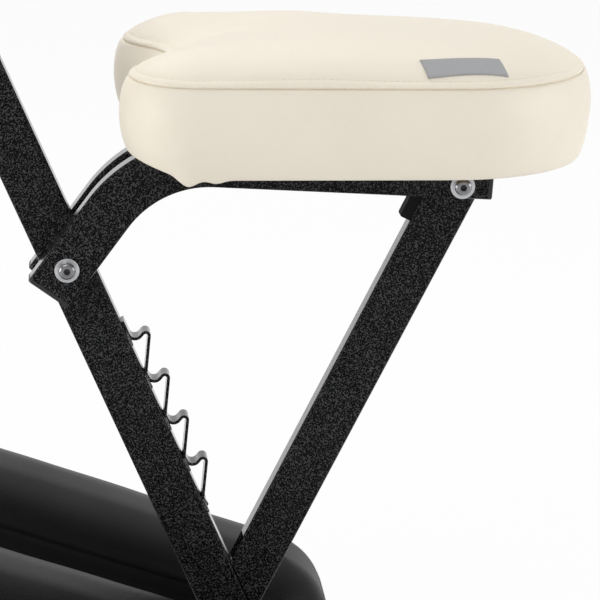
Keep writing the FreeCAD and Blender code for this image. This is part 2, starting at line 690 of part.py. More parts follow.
def seat_arm(label, y):
    """Bent tube: level under the seat, then down to the front pivot. Local origin at its rear end."""
    body = new_body(label, seat_place(num("arm_rear"), num("arm_rise"), y))
    path = new_sketch(body, XZ)
    middle = (straight_end - bend * math.sin(arm_turn / 2), -bend + bend * math.cos(arm_turn / 2))
    path.addGeometry(Part.LineSegment(V(0, 0, 0), V(straight_end, 0, 0)))
    path.addGeometry(Part.Arc(V(straight_end, 0, 0), V(*middle, 0), V(*arc_end, 0)))
    path.addGeometry(Part.LineSegment(V(*arc_end, 0), V(*front_end, 0)))
    wall = dim("tube_wall") * 2
    for kind, across, high, corner in (
            ("PartDesign::AdditivePipe", depth, width, dim("tube_corner")),
            ("PartDesign::SubtractivePipe", depth - wall, width - wall,
             dim("tube_corner") - dim("tube_wall"))):
        profile = new_sketch(body, YZ)
        rounded_rectangle(profile, across, high, corner)
        doc.recompute()
        pipe = body.newObject(kind, label + "_pipe")
        pipe.Profile = profile
        pipe.Spine = (path, ["Edge1", "Edge2", "Edge3"])
        doc.recompute()
    drill(body, XZ, free_hole, [(-num("arm_rear"), -num("arm_rise"))])
    drill(body, XZ, bolt_hole, [(num("strut_pivot_x") - num("arm_rear"), -num("strut_pivot_drop"))])
    screw_spots = [(x - num("arm_rear"), 0) for x in seat_screw_x]
    drill(body, XY, dim("screw_dia"), screw_spots, width, reverse=True)
    drill(body, XY, dim("screw_head") + dim("run_gap") * 4, screw_spots, width)
    return body


seat_screw_x = [num("arm_rear") * share for share in (0.45, 0.84)]
arm = seat_arm("seat_arm_left", -arm_y)
keep(arm)
doc.recompute()
keep(mirror("seat_arm_right", arm))
arm_front_place = seat_place(num("arm_rear") + front_end[0], num("arm_rise") + front_end[1], -arm_y,
                             -90 - num("arm_angle"))
arm_plugs = [plug("arm_plug_rear", seat_place(num("arm_rear"), num("arm_rise"), -arm_y, 90), width, depth),
             plug("arm_plug_front", arm_front_place, width, depth)]
doc.recompute()
group("seat_arm_plugs", arm_plugs + [mirror(item.Label + "_right", item) for item in arm_plugs])


def seat_outline(sketch, inset):
    """Outline of the seat from above, moved inwards: two front lobes, a round notch and a half-round rear."""
    lobe, rear = num("lobe_radius"), num("seat_corner")
    lobe_x, lobe_y = num("seat_front") + lobe, num("seat_half") - lobe
    rear_x = num("seat_rear") - rear
    shift = lobe - num("notch_depth")
    notch = (lobe_y ** 2 + shift ** 2 - lobe ** 2) / (2 * (lobe - shift))
    notch_x = num("seat_front") + num("notch_depth") - notch
    meet = math.atan2(lobe_y, lobe_x - notch_x)
    apart = math.hypot(rear_x - lobe_x, lobe_y)
    side = math.pi / 2 - math.asin((lobe - rear) / apart) - math.atan2(lobe_y, rear_x - lobe_x)

    def arc(x, y, radius, first, last):
        round_ = Part.Circle(V(x, y, 0), V(0, 0, 1), radius)
        sketch.addGeometry(Part.ArcOfCircle(round_, first, last))

    def tangent_point(x, y, radius, way):
        return V(x + radius * math.cos(side), y + way * radius * math.sin(side), 0)

    arc(notch_x, 0, notch + inset, -meet, meet)
    arc(lobe_x, lobe_y, lobe - inset, side, math.pi + meet)
    arc(lobe_x, -lobe_y, lobe - inset, math.pi - meet, 2 * math.pi - side)
    arc(rear_x, 0, rear - inset, -side, side)
    for way in (-1, 1):
        sketch.addGeometry(Part.LineSegment(tangent_point(lobe_x, way * lobe_y, lobe - inset, way),
                                            tangent_point(rear_x, 0, rear - inset, way)))


arm_top = num("arm_rise") + half_width
seat_board = new_body("seat_board", seat_place(0, arm_top))
board_sketch = new_sketch(seat_board, XY)
seat_outline(board_sketch, num("board_inset"))
pad(seat_board, board_sketch, dim("seat_board_thick"))
seat_spots = [(x, side * arm_y) for x in seat_screw_x for side in (-1, 1)]
drill(seat_board, XY, dim("screw_dia"), seat_spots)
keep(seat_board)
seat_pad = new_body("seat_pad", seat_place(0, arm_top))
rake = FreeCAD.Rotation(ACROSS, -num("pad_rake"))
rake_line = V(num("rake_x"), 0, -num("seat_hang"))
pad_sketch = new_sketch(seat_pad, XY)
pad_sketch.AttachmentOffset = FreeCAD.Placement(rake_line - rake.multVec(V(num("rake_x"), 0, 0)), rake)
seat_outline(pad_sketch, 0)
pad(seat_pad, pad_sketch, dim("seat_thick"))
pad_up = rake.multVec(V(0, 0, 1))
round_edges(seat_pad, dim("seat_round"),
            lambda edge: all(abs((vertex.Point - rake_line).dot(pad_up) - num("seat_thick")) < 1e-4
                             for vertex in edge.Vertexes))
recess_sketch = new_sketch(seat_pad, XY, -num("seat_thick"))
seat_outline(recess_sketch, num("board_inset"))
pocket(seat_pad, recess_sketch, dim("seat_thick") + dim("seat_board_thick"), reverse=True)
arm_way = new_sketch(seat_pad, YZ)
way_half = half_depth + num("run_gap") * 3 + depth.value
way_low = -num("seat_thick")
polygon(arm_way, [(-way_half, 0), (way_half, 0), (way_half, way_low), (-way_half, way_low)])
pocket(seat_pad, arm_way, dim("seat_front") + dim("notch_depth") + dim("board_inset") * 2, reverse=True)
keep(seat_pad)
screws("seat_bolts", seat_place(0, arm_top - num("tube_wall")), seat_spots, dim("tube_wall"))
strut_pivot = seat_point(num("strut_pivot_x"), num("arm_rise") - num("strut_pivot_drop"))
cross_bolt("strut_pivot_bolt", strut_pivot, arm_out)

# Strut: a tube whose forked end straddles the rack, with a pin that sits in the catch or a tooth
strip_line = half_width + num("strip_thick") / 2
tooth_line = [(strip_line, 0), (strip_line, -num("catch_tooth")),
              (half_width + num("tooth_height") + num("tooth_over") - num("strip_thick") / 2,
               num("tooth_hook") - num("catch_tooth"))]
pin_back, pin_up = bends(tooth_line, [num("valley_bend")])[0][2]
pin_point = post_point(pin_up, pin_back)
strut_run = (strut_pivot[0] - pin_point[0], strut_pivot[1] - pin_point[1])
strut_turn = math.degrees(math.atan2(strut_run[0], strut_run[1]))
strut_length = math.hypot(*strut_run)
strut_over = num("bolt_dia") * 1.75
strut_axis = (strut_run[0] / strut_length, strut_run[1] / strut_length)


def strut_place(along, turn=0.0, out=0.0):
    """Frame on the strut: along it up from the pin, and out towards the front."""
    point = (pin_point[0] + along * strut_axis[0] - out * strut_axis[1],
             pin_point[1] + along * strut_axis[1] + out * strut_axis[0])
    return place(point, strut_turn + turn)


tail = width.value
strut = tube("strut_tube", strut_place(-tail), Dim(tail + strut_length + strut_over,
             repr(tail + strut_length + strut_over)), width, depth)
meet_angle = math.radians(strut_turn) + LEAN
post_back = (math.cos(meet_angle), math.sin(meet_angle))
post_up = (-math.sin(meet_angle), math.cos(meet_angle))


def beyond_post(back):
    """Outline of all that lies nearer the post's axis than back, in the strut's own side view."""
    far = 2 * width.value
    reach = back - pin_back
    return [(post_back[0] * (reach + a * far) + post_up[0] * b * far,
             post_back[1] * (reach + a * far) + post_up[1] * b * far + tail)
            for a, b in ((0, -1), (0, 1), (-1, 1), (-1, -1))]


fork_end = new_sketch(strut, XZ)
polygon(fork_end, beyond_post(half_width + num("run_gap")))
pocket(strut, fork_end)
fork_slot = new_sketch(strut, XZ)
polygon(fork_slot, beyond_post(half_width + num("tooth_height") + num("rest_gap")))
slot_cut = pocket(strut, fork_slot, depth - dim("tube_wall") * 2)
slot_cut.SideType = "Symmetric"
drill(strut, XZ, dim("pin_dia"), [(0, tail)])
drill(strut, XZ, free_hole, [(0, tail + strut_length)])
keep(strut)
pin = new_body("strut_pin", strut_place(0))
pin_sketch = new_sketch(pin, XZ)
circle(pin_sketch, dim("pin_dia"))
pad(pin, pin_sketch, depth, both_ways=True)
keep(pin)
buffer_mid = strut_length - num("buffer_down") - num("buffer_long") / 2
buffer = plate("strut_buffer", strut_place(buffer_mid, -90, half_width), dim("buffer_long"),
               dim("strip_width"), dim("buffer_high"), dim("tube_corner"))
round_edges(buffer, dim("tube_corner") * 0.6, at_height(num("buffer_high")))
keep(buffer)


# Chest support: a sleeve on the post carries a plate, a board and a pad
def post_facing(up, back, turn):
    """Frame on the post whose local z points to the rear (turn 90) or to the front (turn -90)."""
    return place(post_point(up, back), turn - num("post_lean"))


def collar(label, placement, outer, inner, length, corner):
    """Short rectangular collar along local z: outer and inner are (width, depth)."""
    body = new_body(label, placement)
    sketch = new_sketch(body, XY)
    rounded_rectangle(sketch, outer[0], outer[1], corner)
    rounded_rectangle(sketch, inner[0], inner[1], dim("tube_corner") / 2)
    pad(body, sketch, length)
    return body


play = dim("sleeve_gap") * 2
around = play + dim("sleeve_wall") * 2
sleeve = collar("chest_sleeve", post_place(num("sleeve_low")), (width + around, depth + around),
                (width + play, depth + play), dim("sleeve_length"),
                dim("tube_corner") + dim("sleeve_wall"))
drill(sleeve, YZ, free_hole, [(0, num("sleeve_length") / 2)], dim("tube_width"))
keep(sleeve)
sleeve_out = half_width + num("sleeve_gap") + num("sleeve_wall")
sleeve_middle = num("sleeve_low") + num("sleeve_length") / 2
chest_middle = num("chest_low") + num("chest_length") / 2
chest_plate = plate("chest_plate", post_facing(sleeve_middle, sleeve_out, 90), dim("chest_plate_length"),
                    dim("chest_plate_width"), dim("steel_plate"), dim("tube_corner") * 3)
chest_spots = [(x * num("chest_plate_length") * 0.39, y * num("chest_plate_width") * 0.36)
               for x in (-1, 1) for y in (-1, 1)]
drill(chest_plate, XY, dim("screw_dia"), chest_spots)
keep(chest_plate)
chest_frame = post_facing(chest_middle, sleeve_out + num("steel_plate"), 90)
chest_board = plate("chest_board", chest_frame, dim("chest_length") - inset, dim("chest_width") - inset,
                    dim("board_thick"), dim("chest_corner") - dim("board_inset"))
drill(chest_board, XY, dim("screw_dia"), [(x + chest_middle - sleeve_middle, y) for x, y in chest_spots])
keep(chest_board)
keep(cushion("chest_pad", chest_frame, dim("chest_length"), dim("chest_width"), dim("chest_thick"),
             dim("chest_corner"), dim("board_thick")))
screws("chest_screws", post_facing(sleeve_middle, sleeve_out, 90), chest_spots, dim("steel_plate"))
star_knob("chest_knob", post_facing(sleeve_middle, -sleeve_out - num("rest_gap"), -90),
          num("sleeve_gap") + num("sleeve_wall"))

# Mast of the face cradle: a flat tube that slides in a bush in the post's upper end
slide = dim("run_fit") * 2
wall = dim("tube_wall") * 2
mast_size = (dim("mast_width"), dim("mast_depth"))
mast_hole = (dim("mast_width") + slide, dim("mast_depth") + slide)
bush = collar("mast_bush", post_place(num("post_top")), (width + wall, depth + wall), mast_hole,
              dim("bush_flange"), dim("tube_corner") + dim("tube_wall"))
skirt = new_sketch(bush, XY)
rounded_rectangle(skirt, width - wall, depth - wall, dim("tube_corner") - dim("tube_wall"))
rounded_rectangle(skirt, mast_hole[0], mast_hole[1], dim("tube_corner") / 2)
pad(bush, skirt, dim("bush_skirt"), reverse=True)
drill(bush, YZ, free_hole, [(0, num("mast_knob_up") - num("post_top"))], dim("tube_width"))
keep(bush)
mast_end = num("mast_hinge") + num("mast_over")
mast_run = dim("mast_hinge") + dim("mast_over") - dim("mast_low")
mast = tube("head_mast", post_place(num("mast_low")), mast_run, *mast_size)
drill(mast, XZ, free_hole, [(0, num("mast_hinge") - num("mast_low"))])
keep(mast)
keep(plug("mast_plug", post_place(mast_end), *mast_size))
star_knob("mast_knob", post_facing(num("mast_knob_up"), -half_width - num("rest_gap"), -90),
          half_width - num("mast_width") / 2)


# Face cradle: a bracket on the mast's end, a ring board and a horseshoe pad
def cradle_place(out, up, turn=0.0):
    """Frame on the cradle: out towards the face and up along the pad from the hinge."""
    angle = math.radians(num("cradle_lean"))
    hinge = post_point(num("mast_hinge"), 0)
    point = (hinge[0] + out * math.cos(angle) - up * math.sin(angle),
             hinge[1] + out * math.sin(angle) + up * math.cos(angle))
    return place(point, turn - num("cradle_lean"))


def knob_across(label, point, grip):
    """Knob on the chair's near side whose stud is a hinge pin, and the nut on the far side."""
    placement = FreeCAD.Placement(V(point[0], -grip - num("rest_gap"), point[1]),
                                  FreeCAD.Rotation(V(1, 0, 0), 90))
    star_knob(label + "_knob", placement, 2 * grip + num("rest_gap") + num("nut_high"))
    nut = doc.addObject("Part::Feature", label + "_nut")
    hole = Part.makeCylinder(free_hole.value / 2, num("nut_high"), V(0, grip, 0), ACROSS)
    nut.Shape = hexagon(num("nut_flats"), num("nut_high"), grip).cut(hole)
    nut.Placement = place(point, 0)
    keep(nut)


ear_in = num("mast_depth") / 2 + num("run_gap")
ear_out = ear_in + num("steel_plate")
ear_end = num("mast_width") / 2
off = num("cradle_off")
web_low, web_high = -ear_end, num("cradle_low") + 4 * ear_end
bracket = new_body("cradle_bracket", cradle_place(0, 0))
ears = new_sketch(bracket, XZ)
ears.addGeometry(Part.LineSegment(V(0, ear_end, 0), V(off, web_high - ear_end, 0)))
ears.addGeometry(Part.LineSegment(V(off, web_high - ear_end, 0), V(off, web_low, 0)))
ears.addGeometry(Part.LineSegment(V(off, web_low, 0), V(0, -ear_end, 0)))
ears.addGeometry(Part.Arc(V(0, -ear_end, 0), V(-ear_end, 0, 0), V(0, ear_end, 0)))
pad(bracket, ears, Dim(2 * ear_out, repr(2 * ear_out)), both_ways=True)
between = new_sketch(bracket, XZ)
web_back = off - num("steel_plate")
polygon(between, [(-2 * ear_end, web_low), (web_back, web_low), (web_back, web_high),
                  (-2 * ear_end, web_high)])
gap_cut = pocket(bracket, between, Dim(2 * ear_in, repr(2 * ear_in)))
gap_cut.SideType = "Symmetric"
web = new_sketch(bracket, XZ)
polygon(web, [(web_back, web_low), (off, web_low), (off, web_high), (web_back, web_high)])
pad(bracket, web, dim("tube_width") * 2, both_ways=True)
drill(bracket, XZ, free_hole, [(0, 0)])
cradle_mid = num("cradle_low") + num("cradle_length") / 2
cradle_spots = [(cradle_mid - up, side * num("tube_width") * 0.7)
                for up in (num("cradle_low") + 20, num("cradle_low") + 42) for side in (-1, 1)]
drill(bracket, YZ, dim("screw_dia"), [(y, cradle_mid - x) for x, y in cradle_spots])
keep(bracket)
cradle_board = plate("cradle_board", cradle_place(off, cradle_mid, 90), dim("cradle_length") - inset,
                     dim("cradle_width") - inset, dim("cradle_board_thick"),
                     dim("cradle_corner") - dim("board_inset"))
opening = new_sketch(cradle_board, XY)
rounded_rectangle(opening, dim("face_length") * 0.68, dim("face_width"), dim("face_width") * 0.45)
pocket(cradle_board, opening, dim("cradle_board_thick"), reverse=True)
drill(cradle_board, XY, dim("screw_dia"), cradle_spots)
keep(cradle_board)
cradle_pad = plate("cradle_pad", cradle_place(off + num("cradle_board_thick"), cradle_mid, 90),
                   dim("cradle_length"), dim("cradle_width"), dim("cradle_thick"), dim("cradle_corner"))
slot = new_sketch(cradle_pad, XY)
slot_half = num("face_width") / 2
slot_open = num("cradle_length")
slot_bend = num("cradle_length") / 2 - num("face_length") + slot_half
slot.addGeometry(Part.LineSegment(V(slot_bend, slot_half, 0), V(slot_open, slot_half, 0)))
slot.addGeometry(Part.LineSegment(V(slot_open, slot_half, 0), V(slot_open, -slot_half, 0)))
slot.addGeometry(Part.LineSegment(V(slot_open, -slot_half, 0), V(slot_bend, -slot_half, 0)))
slot.addGeometry(Part.Arc(V(slot_bend, -slot_half, 0), V(slot_bend - slot_half, 0, 0),
                          V(slot_bend, slot_half, 0)))
pocket(cradle_pad, slot, dim("cradle_thick"), reverse=True)
round_edges(cradle_pad, dim("seat_round") * 0.9, at_height(num("cradle_thick")))
keep(cradle_pad)
screws("cradle_screws", cradle_place(web_back, cradle_mid, 90), cradle_spots, dim("steel_plate"))
knob_across("cradle", post_point(num("mast_hinge"), 0), ear_out)


# Armrest: an arm between two cheeks on the post, a plate, a board and a pad
def rest_place(forward, up, turn=0.0):
    """Frame on the armrest: forward from its hinge and up."""
    return place((rest_hinge[0] - forward, rest_hinge[1] + up), turn)


leg_size = (dim("leg_width"), dim("leg_depth"))
rest_over = num("leg_width") / 2
rest_run = Dim(num("rest_reach") + rest_over, f"(Sizes.rest_reach + {rest_over})")
rest_arm = tube("armrest_arm", rest_place(-rest_over, 0, -90), rest_run, *leg_size)
drill(rest_arm, XZ, free_hole, [(0, rest_over)])
keep(rest_arm)
keep(plug("armrest_plug", rest_place(num("rest_reach"), 0, -90), *leg_size))
rest_mid = num("rest_reach") - num("rest_plate_length") * 0.6
rest_top = num("leg_width") / 2
rest_plate = plate("armrest_plate", rest_place(rest_mid, rest_top), dim("rest_plate_length"),
                   dim("rest_plate_width"), dim("steel_plate"), dim("tube_corner") * 3)
rest_spots = [(x * num("rest_plate_length") * 0.34, y * num("rest_plate_width") * 0.38)
              for x in (-1, 1) for y in (-1, 1)]
drill(rest_plate, XY, dim("screw_dia"), rest_spots)
keep(rest_plate)
rest_frame = rest_place(rest_mid, rest_top + num("steel_plate"))
rest_board = plate("armrest_board", rest_frame, dim("rest_width") - inset, dim("rest_length") - inset,
                   dim("board_thick"), dim("rest_corner") - dim("board_inset"))
drill(rest_board, XY, dim("screw_dia"), rest_spots)
keep(rest_board)
keep(cushion("armrest_pad", rest_frame, dim("rest_width"), dim("rest_length"), dim("rest_thick"),
             dim("rest_corner"), dim("board_thick")))
screws("armrest_screws", rest_place(rest_mid, rest_top), rest_spots, dim("steel_plate"))
knob_across("armrest", rest_hinge, cheek_out)

# Every object is checked before its piece is written
doc.recompute()
for item in doc.Objects:
    if "Invalid" in item.State or "Error" in item.State:
        raise RuntimeError(f"{item.Label}: {item.State}")
for name, item in PIECES.items():
    shape = item.Shape
    if shape.isNull() or not shape.isValid() or not shape.Solids:
        raise RuntimeError(f"{name}: no valid solid")
    shape.exportStep(f"parts/{name}.step")
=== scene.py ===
"""Folding massage chair: upholstery, finishes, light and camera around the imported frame."""
import json
import math

import bmesh
import bpy
from mathutils import Matrix, Vector, noise


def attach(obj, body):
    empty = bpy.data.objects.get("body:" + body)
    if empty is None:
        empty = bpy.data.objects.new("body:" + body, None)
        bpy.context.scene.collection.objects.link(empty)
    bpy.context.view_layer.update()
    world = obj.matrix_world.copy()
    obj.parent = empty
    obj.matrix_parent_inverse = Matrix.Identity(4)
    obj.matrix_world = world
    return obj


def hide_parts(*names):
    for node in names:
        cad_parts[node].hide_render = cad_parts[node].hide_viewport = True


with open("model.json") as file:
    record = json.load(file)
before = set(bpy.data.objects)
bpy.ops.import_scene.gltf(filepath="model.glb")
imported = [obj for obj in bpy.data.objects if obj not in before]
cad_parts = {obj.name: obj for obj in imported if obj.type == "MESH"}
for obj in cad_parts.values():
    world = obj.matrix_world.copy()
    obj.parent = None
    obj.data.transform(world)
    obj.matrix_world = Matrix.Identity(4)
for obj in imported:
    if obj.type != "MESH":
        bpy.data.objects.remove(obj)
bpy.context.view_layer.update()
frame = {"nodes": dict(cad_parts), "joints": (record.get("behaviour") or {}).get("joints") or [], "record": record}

NODES = frame["nodes"]
MM = 0.001


# The chair's own numbers, in millimetres, as in the part's source
JOINTS = {joint["name"]: joint for joint in frame["joints"]}


def hinge(name):
    """Side-view place of a joint."""
    return tuple(JOINTS[name]["pos_m"][axis] / MM for axis in (0, 2))


PIVOT = hinge("seat_tilt")
KNEE_HINGE = hinge("knee_rest_fold")
REST_HINGE = hinge("armrest_tilt")
POST_LEAN = math.radians(22.5)
SEAT_SLOPE = math.radians(3.9)
KNEE_SLOPE = math.radians(20.3)


def post_point(up, back):
    """Side-view place measured up the post from the seat's pivot and back from the post's axis."""
    return (PIVOT[0] - up * math.sin(POST_LEAN) + back * math.cos(POST_LEAN),
            PIVOT[1] + up * math.cos(POST_LEAN) + back * math.sin(POST_LEAN))


def side_frame(point, turn, y=0.0):
    """Local frame in millimetres at a side-view place, turned about the chair's cross axis."""
    place = Vector((point[0], y, point[1])) * MM
    return Matrix.Translation(place) @ Matrix.Rotation(turn, 4, "Y") @ Matrix.Scale(MM, 4)


def ramp(value, start, end):
    """0 at start, 1 at end and straight between them; start may be the larger one."""
    return min(1.0, max(0.0, (value - start) / (end - start)))


# Camera: the photograph's close side view of the seat
CAMERA_AZIMUTH = math.radians(-5.44)
CAMERA_ELEVATION = math.radians(15.98)
CAMERA_DISTANCE = 2.071
CAMERA_LENS, CAMERA_SENSOR = 150.3, 36.0
CAMERA_TARGET = Vector((PIVOT[0] + 191.1, 0.0, PIVOT[1] - 38.8)) * MM


def aim_camera():
    data = bpy.data.cameras.new("photo_camera")
    data.sensor_width = CAMERA_SENSOR
    data.lens = CAMERA_LENS
    data.clip_end = 50.0
    camera = bpy.data.objects.new("photo_camera", data)
    level = math.cos(CAMERA_ELEVATION)
    back = Vector((math.sin(CAMERA_AZIMUTH) * level, -math.cos(CAMERA_AZIMUTH) * level,
                   math.sin(CAMERA_ELEVATION)))
    camera.location = CAMERA_TARGET + back * CAMERA_DISTANCE
    camera.rotation_euler = back.to_track_quat("Z", "Y").to_euler()
    bpy.context.scene.collection.objects.link(camera)
    bpy.context.scene.camera = camera


aim_camera()


# Node helpers
def link_nodes(tree, *pairs):
    for source, target in pairs:
        tree.links.new(source, target)


def add_node(tree, kind, **values):
    """New node; a value goes on the node's own setting of that name, or else on its socket."""
    node = tree.nodes.new(kind)
    for name, value in values.items():
        if hasattr(node, name):
            setattr(node, name, value)
        else:
            node.inputs[name.replace("_", " ")].default_value = value
    return node


def object_place(tree):
    """The piece's own coordinates, in metres."""
    return tree.nodes.new("ShaderNodeTexCoord").outputs["Object"]


def new_group(name, inputs, outputs):
    """Shader node group with number inputs (name, default) and named number outputs."""
    group = bpy.data.node_groups.new(name, "ShaderNodeTree")
    number = "NodeSocketFloat"
    for label, default in inputs:
        socket = group.interface.new_socket(name=label, in_out="INPUT", socket_type=number)
        socket.default_value = default
    for label in outputs:
        group.interface.new_socket(name=label, in_out="OUTPUT", socket_type=number)
    return group, group.nodes.new("NodeGroupInput"), group.nodes.new("NodeGroupOutput")


def math_node(tree, operation, first, second, clamp=False):
    """Result of two values, each a number or a socket."""
    node = add_node(tree, "ShaderNodeMath", operation=operation, use_clamp=clamp)
    for socket, value in zip(node.inputs, (first, second)):
        if isinstance(value, float):
            socket.default_value = value
        else:
            tree.links.new(value, socket)
    return node.outputs[0]


def grain_group():
    """Leather grain: pebbles with fine creases between them, and a slow drift of tone."""
    group, given, out = new_group("leather_grain", [("Pebble", 900.0), ("Crease", 0.5)],
                                  ["Height", "Tone"])
    place = object_place(group)
    pebble = add_node(group, "ShaderNodeTexVoronoi", feature="SMOOTH_F1", Smoothness=0.6)
    crease = add_node(group, "ShaderNodeTexNoise", Detail=4.0, Roughness=0.6)
    drift = add_node(group, "ShaderNodeTexNoise", Scale=14.0, Detail=3.0)
    finer = math_node(group, "MULTIPLY", given.outputs["Pebble"], 0.55)
    link_nodes(group, (place, pebble.inputs["Vector"]), (place, crease.inputs["Vector"]),
               (place, drift.inputs["Vector"]),
               (given.outputs["Pebble"], pebble.inputs["Scale"]),
               (finer, crease.inputs["Scale"]))
    folds = math_node(group, "MULTIPLY", crease.outputs["Fac"], given.outputs["Crease"])
    height = math_node(group, "ADD", pebble.outputs["Distance"], folds)
    link_nodes(group, (height, out.inputs["Height"]), (drift.outputs["Fac"], out.inputs["Tone"]))
    return group


def hammer_group():
    """Hammered powder coat: a pale network on a dark ground, and the dimples it runs round."""
    group, given, out = new_group("hammered_coat", [("Fleck", 820.0), ("Share", 0.52)],
                                  ["Height", "Fleck", "Tone"])
    edge_sharpness = 5.5
    place = object_place(group)
    fleck = add_node(group, "ShaderNodeTexVoronoi", feature="F1")
    drift = add_node(group, "ShaderNodeTexNoise", Scale=9.0, Detail=2.0)
    link_nodes(group, (place, fleck.inputs["Vector"]), (place, drift.inputs["Vector"]),
               (given.outputs["Fleck"], fleck.inputs["Scale"]))
    above = math_node(group, "SUBTRACT", fleck.outputs["Distance"], given.outputs["Share"])
    mask = math_node(group, "MULTIPLY", above, edge_sharpness, clamp=True)
    link_nodes(group, (fleck.outputs["Distance"], out.inputs["Height"]),
               (mask, out.inputs["Fleck"]), (drift.outputs["Fac"], out.inputs["Tone"]))
    return group


def moulding_group():
    """Fine spark texture of moulded plastic and rubber, with a faint drift of tone."""
    group, given, out = new_group("moulded_skin", [("Scale", 1500.0)], ["Height", "Tone"])
    place = object_place(group)
    spark = add_node(group, "ShaderNodeTexNoise", Detail=3.0)
    drift = add_node(group, "ShaderNodeTexNoise", Scale=25.0, Detail=2.0)
    link_nodes(group, (place, spark.inputs["Vector"]), (place, drift.inputs["Vector"]),
               (given.outputs["Scale"], spark.inputs["Scale"]),
               (spark.outputs["Fac"], out.inputs["Height"]),
               (drift.outputs["Fac"], out.inputs["Tone"]))
    return group


GRAIN, HAMMER, MOULDING = grain_group(), hammer_group(), moulding_group()


# Parts that every finish shares
def new_material(name, **values):
    """Material with one Principled shader; keyword values go on its own sockets."""
    material = bpy.data.materials.new(name)
    material.use_nodes = True
    shader = material.node_tree.nodes["Principled BSDF"]
    for label, value in values.items():
        shader.inputs[label.replace("_", " ")].default_value = value
    return material, material.node_tree, shader


def place_group(tree, group, **values):
    node = add_node(tree, "ShaderNodeGroup", node_tree=group)
    for name, value in values.items():
        node.inputs[name].default_value = value
    return node


def mix_colours(tree, factor, dark, pale):
    node = add_node(tree, "ShaderNodeMix", data_type="RGBA")
    node.inputs["A"].default_value = (*dark, 1.0)
    node.inputs["B"].default_value = (*pale, 1.0)
    tree.links.new(factor, node.inputs["Factor"])
    return node.outputs["Result"]


def map_range(tree, value, **values):
    node = add_node(tree, "ShaderNodeMapRange", **values)
    tree.links.new(value, node.inputs["Value"])
    return node.outputs["Result"]


def stretch(tree, value, low, high):
    """The middle of a 0 to 1 noise value, moved to the range low to high."""
    return map_range(tree, value, From_Min=0.3, From_Max=0.7, To_Min=low, To_Max=high)


def finish_surface(tree, shader, colour, tone, smooth, rough):
    """Sets the colour, and a roughness that drifts with the tone between two values."""
    link_nodes(tree, (colour, shader.inputs["Base Color"]),
               (stretch(tree, tone, smooth, rough), shader.inputs["Roughness"]))


def raise_bump(tree, shader, height, distance, strength=1.0):
    bump = add_node(tree, "ShaderNodeBump", Distance=distance, Strength=strength)
    link_nodes(tree, (height, bump.inputs["Height"]),
               (bump.outputs["Normal"], shader.inputs["Normal"]))


def slant_sheen(tree, shader, most):
    """A clear top coat that shows only where the surface is seen at a slant."""
    facing = add_node(tree, "ShaderNodeLayerWeight", Blend=0.5).outputs["Facing"]
    sheen = map_range(tree, facing, From_Min=0.5, From_Max=0.8, To_Max=most)
    tree.links.new(sheen, shader.inputs["Coat Weight"])


# Finishes
def leather(name, dark, pale, rough, pebble, depth, gleam=0.42, sheen=0.0):
    """Grained leather or thread: pebbles per metre, and the depth of the grain in metres."""
    material, tree, shader = new_material(name, Specular_IOR_Level=gleam, Coat_Roughness=0.4)
    if sheen:
        slant_sheen(tree, shader, sheen)
    grain = place_group(tree, GRAIN, Pebble=pebble, Crease=0.5)
    tone = grain.outputs["Tone"]
    finish_surface(tree, shader, mix_colours(tree, tone, dark, pale), tone,
                   rough - 0.04, rough + 0.05)
    raise_bump(tree, shader, grain.outputs["Height"], depth)
    return material


def hammered(name, ground, fleck, gleam=0.08):
    """Powder coat with pale flecks on a dark ground."""
    material, tree, shader = new_material(name, Specular_IOR_Level=gleam, Coat_Roughness=0.2,
                                          Coat_IOR=1.9)
    coat = place_group(tree, HAMMER)
    slant_sheen(tree, shader, 1.0)
    colour = mix_colours(tree, coat.outputs["Fleck"], ground, fleck)
    finish_surface(tree, shader, colour, coat.outputs["Tone"], 0.28, 0.38)
    raise_bump(tree, shader, coat.outputs["Height"], 0.0004, 0.6)
    return material


def moulded(name, dark, pale, rough, gleam=0.5):
    """Plastic or rubber from a mould."""
    material, tree, shader = new_material(name, Specular_IOR_Level=gleam)
    skin = place_group(tree, MOULDING)
    tone = skin.outputs["Tone"]
    finish_surface(tree, shader, mix_colours(tree, tone, dark, pale), tone,
                   rough - 0.05, rough + 0.05)
    raise_bump(tree, shader, skin.outputs["Height"], 0.0001)
    return material


def zinc_base(name):
    """Metal with faint clouding, as the material, its shader and the clouding's group."""
    material, tree, shader = new_material(name, Metallic=1.0)
    return material, tree, shader, place_group(tree, MOULDING, Scale=900.0)


def zinc_plate():
    """Bright clouded zinc."""
    material, tree, shader, skin = zinc_base("zinc_plate")
    tone = skin.outputs["Tone"]
    colour = mix_colours(tree, tone, (0.46, 0.46, 0.47), (0.66, 0.66, 0.67))
    finish_surface(tree, shader, colour, tone, 0.14, 0.26)
    raise_bump(tree, shader, skin.outputs["Height"], 0.00006)
    return material


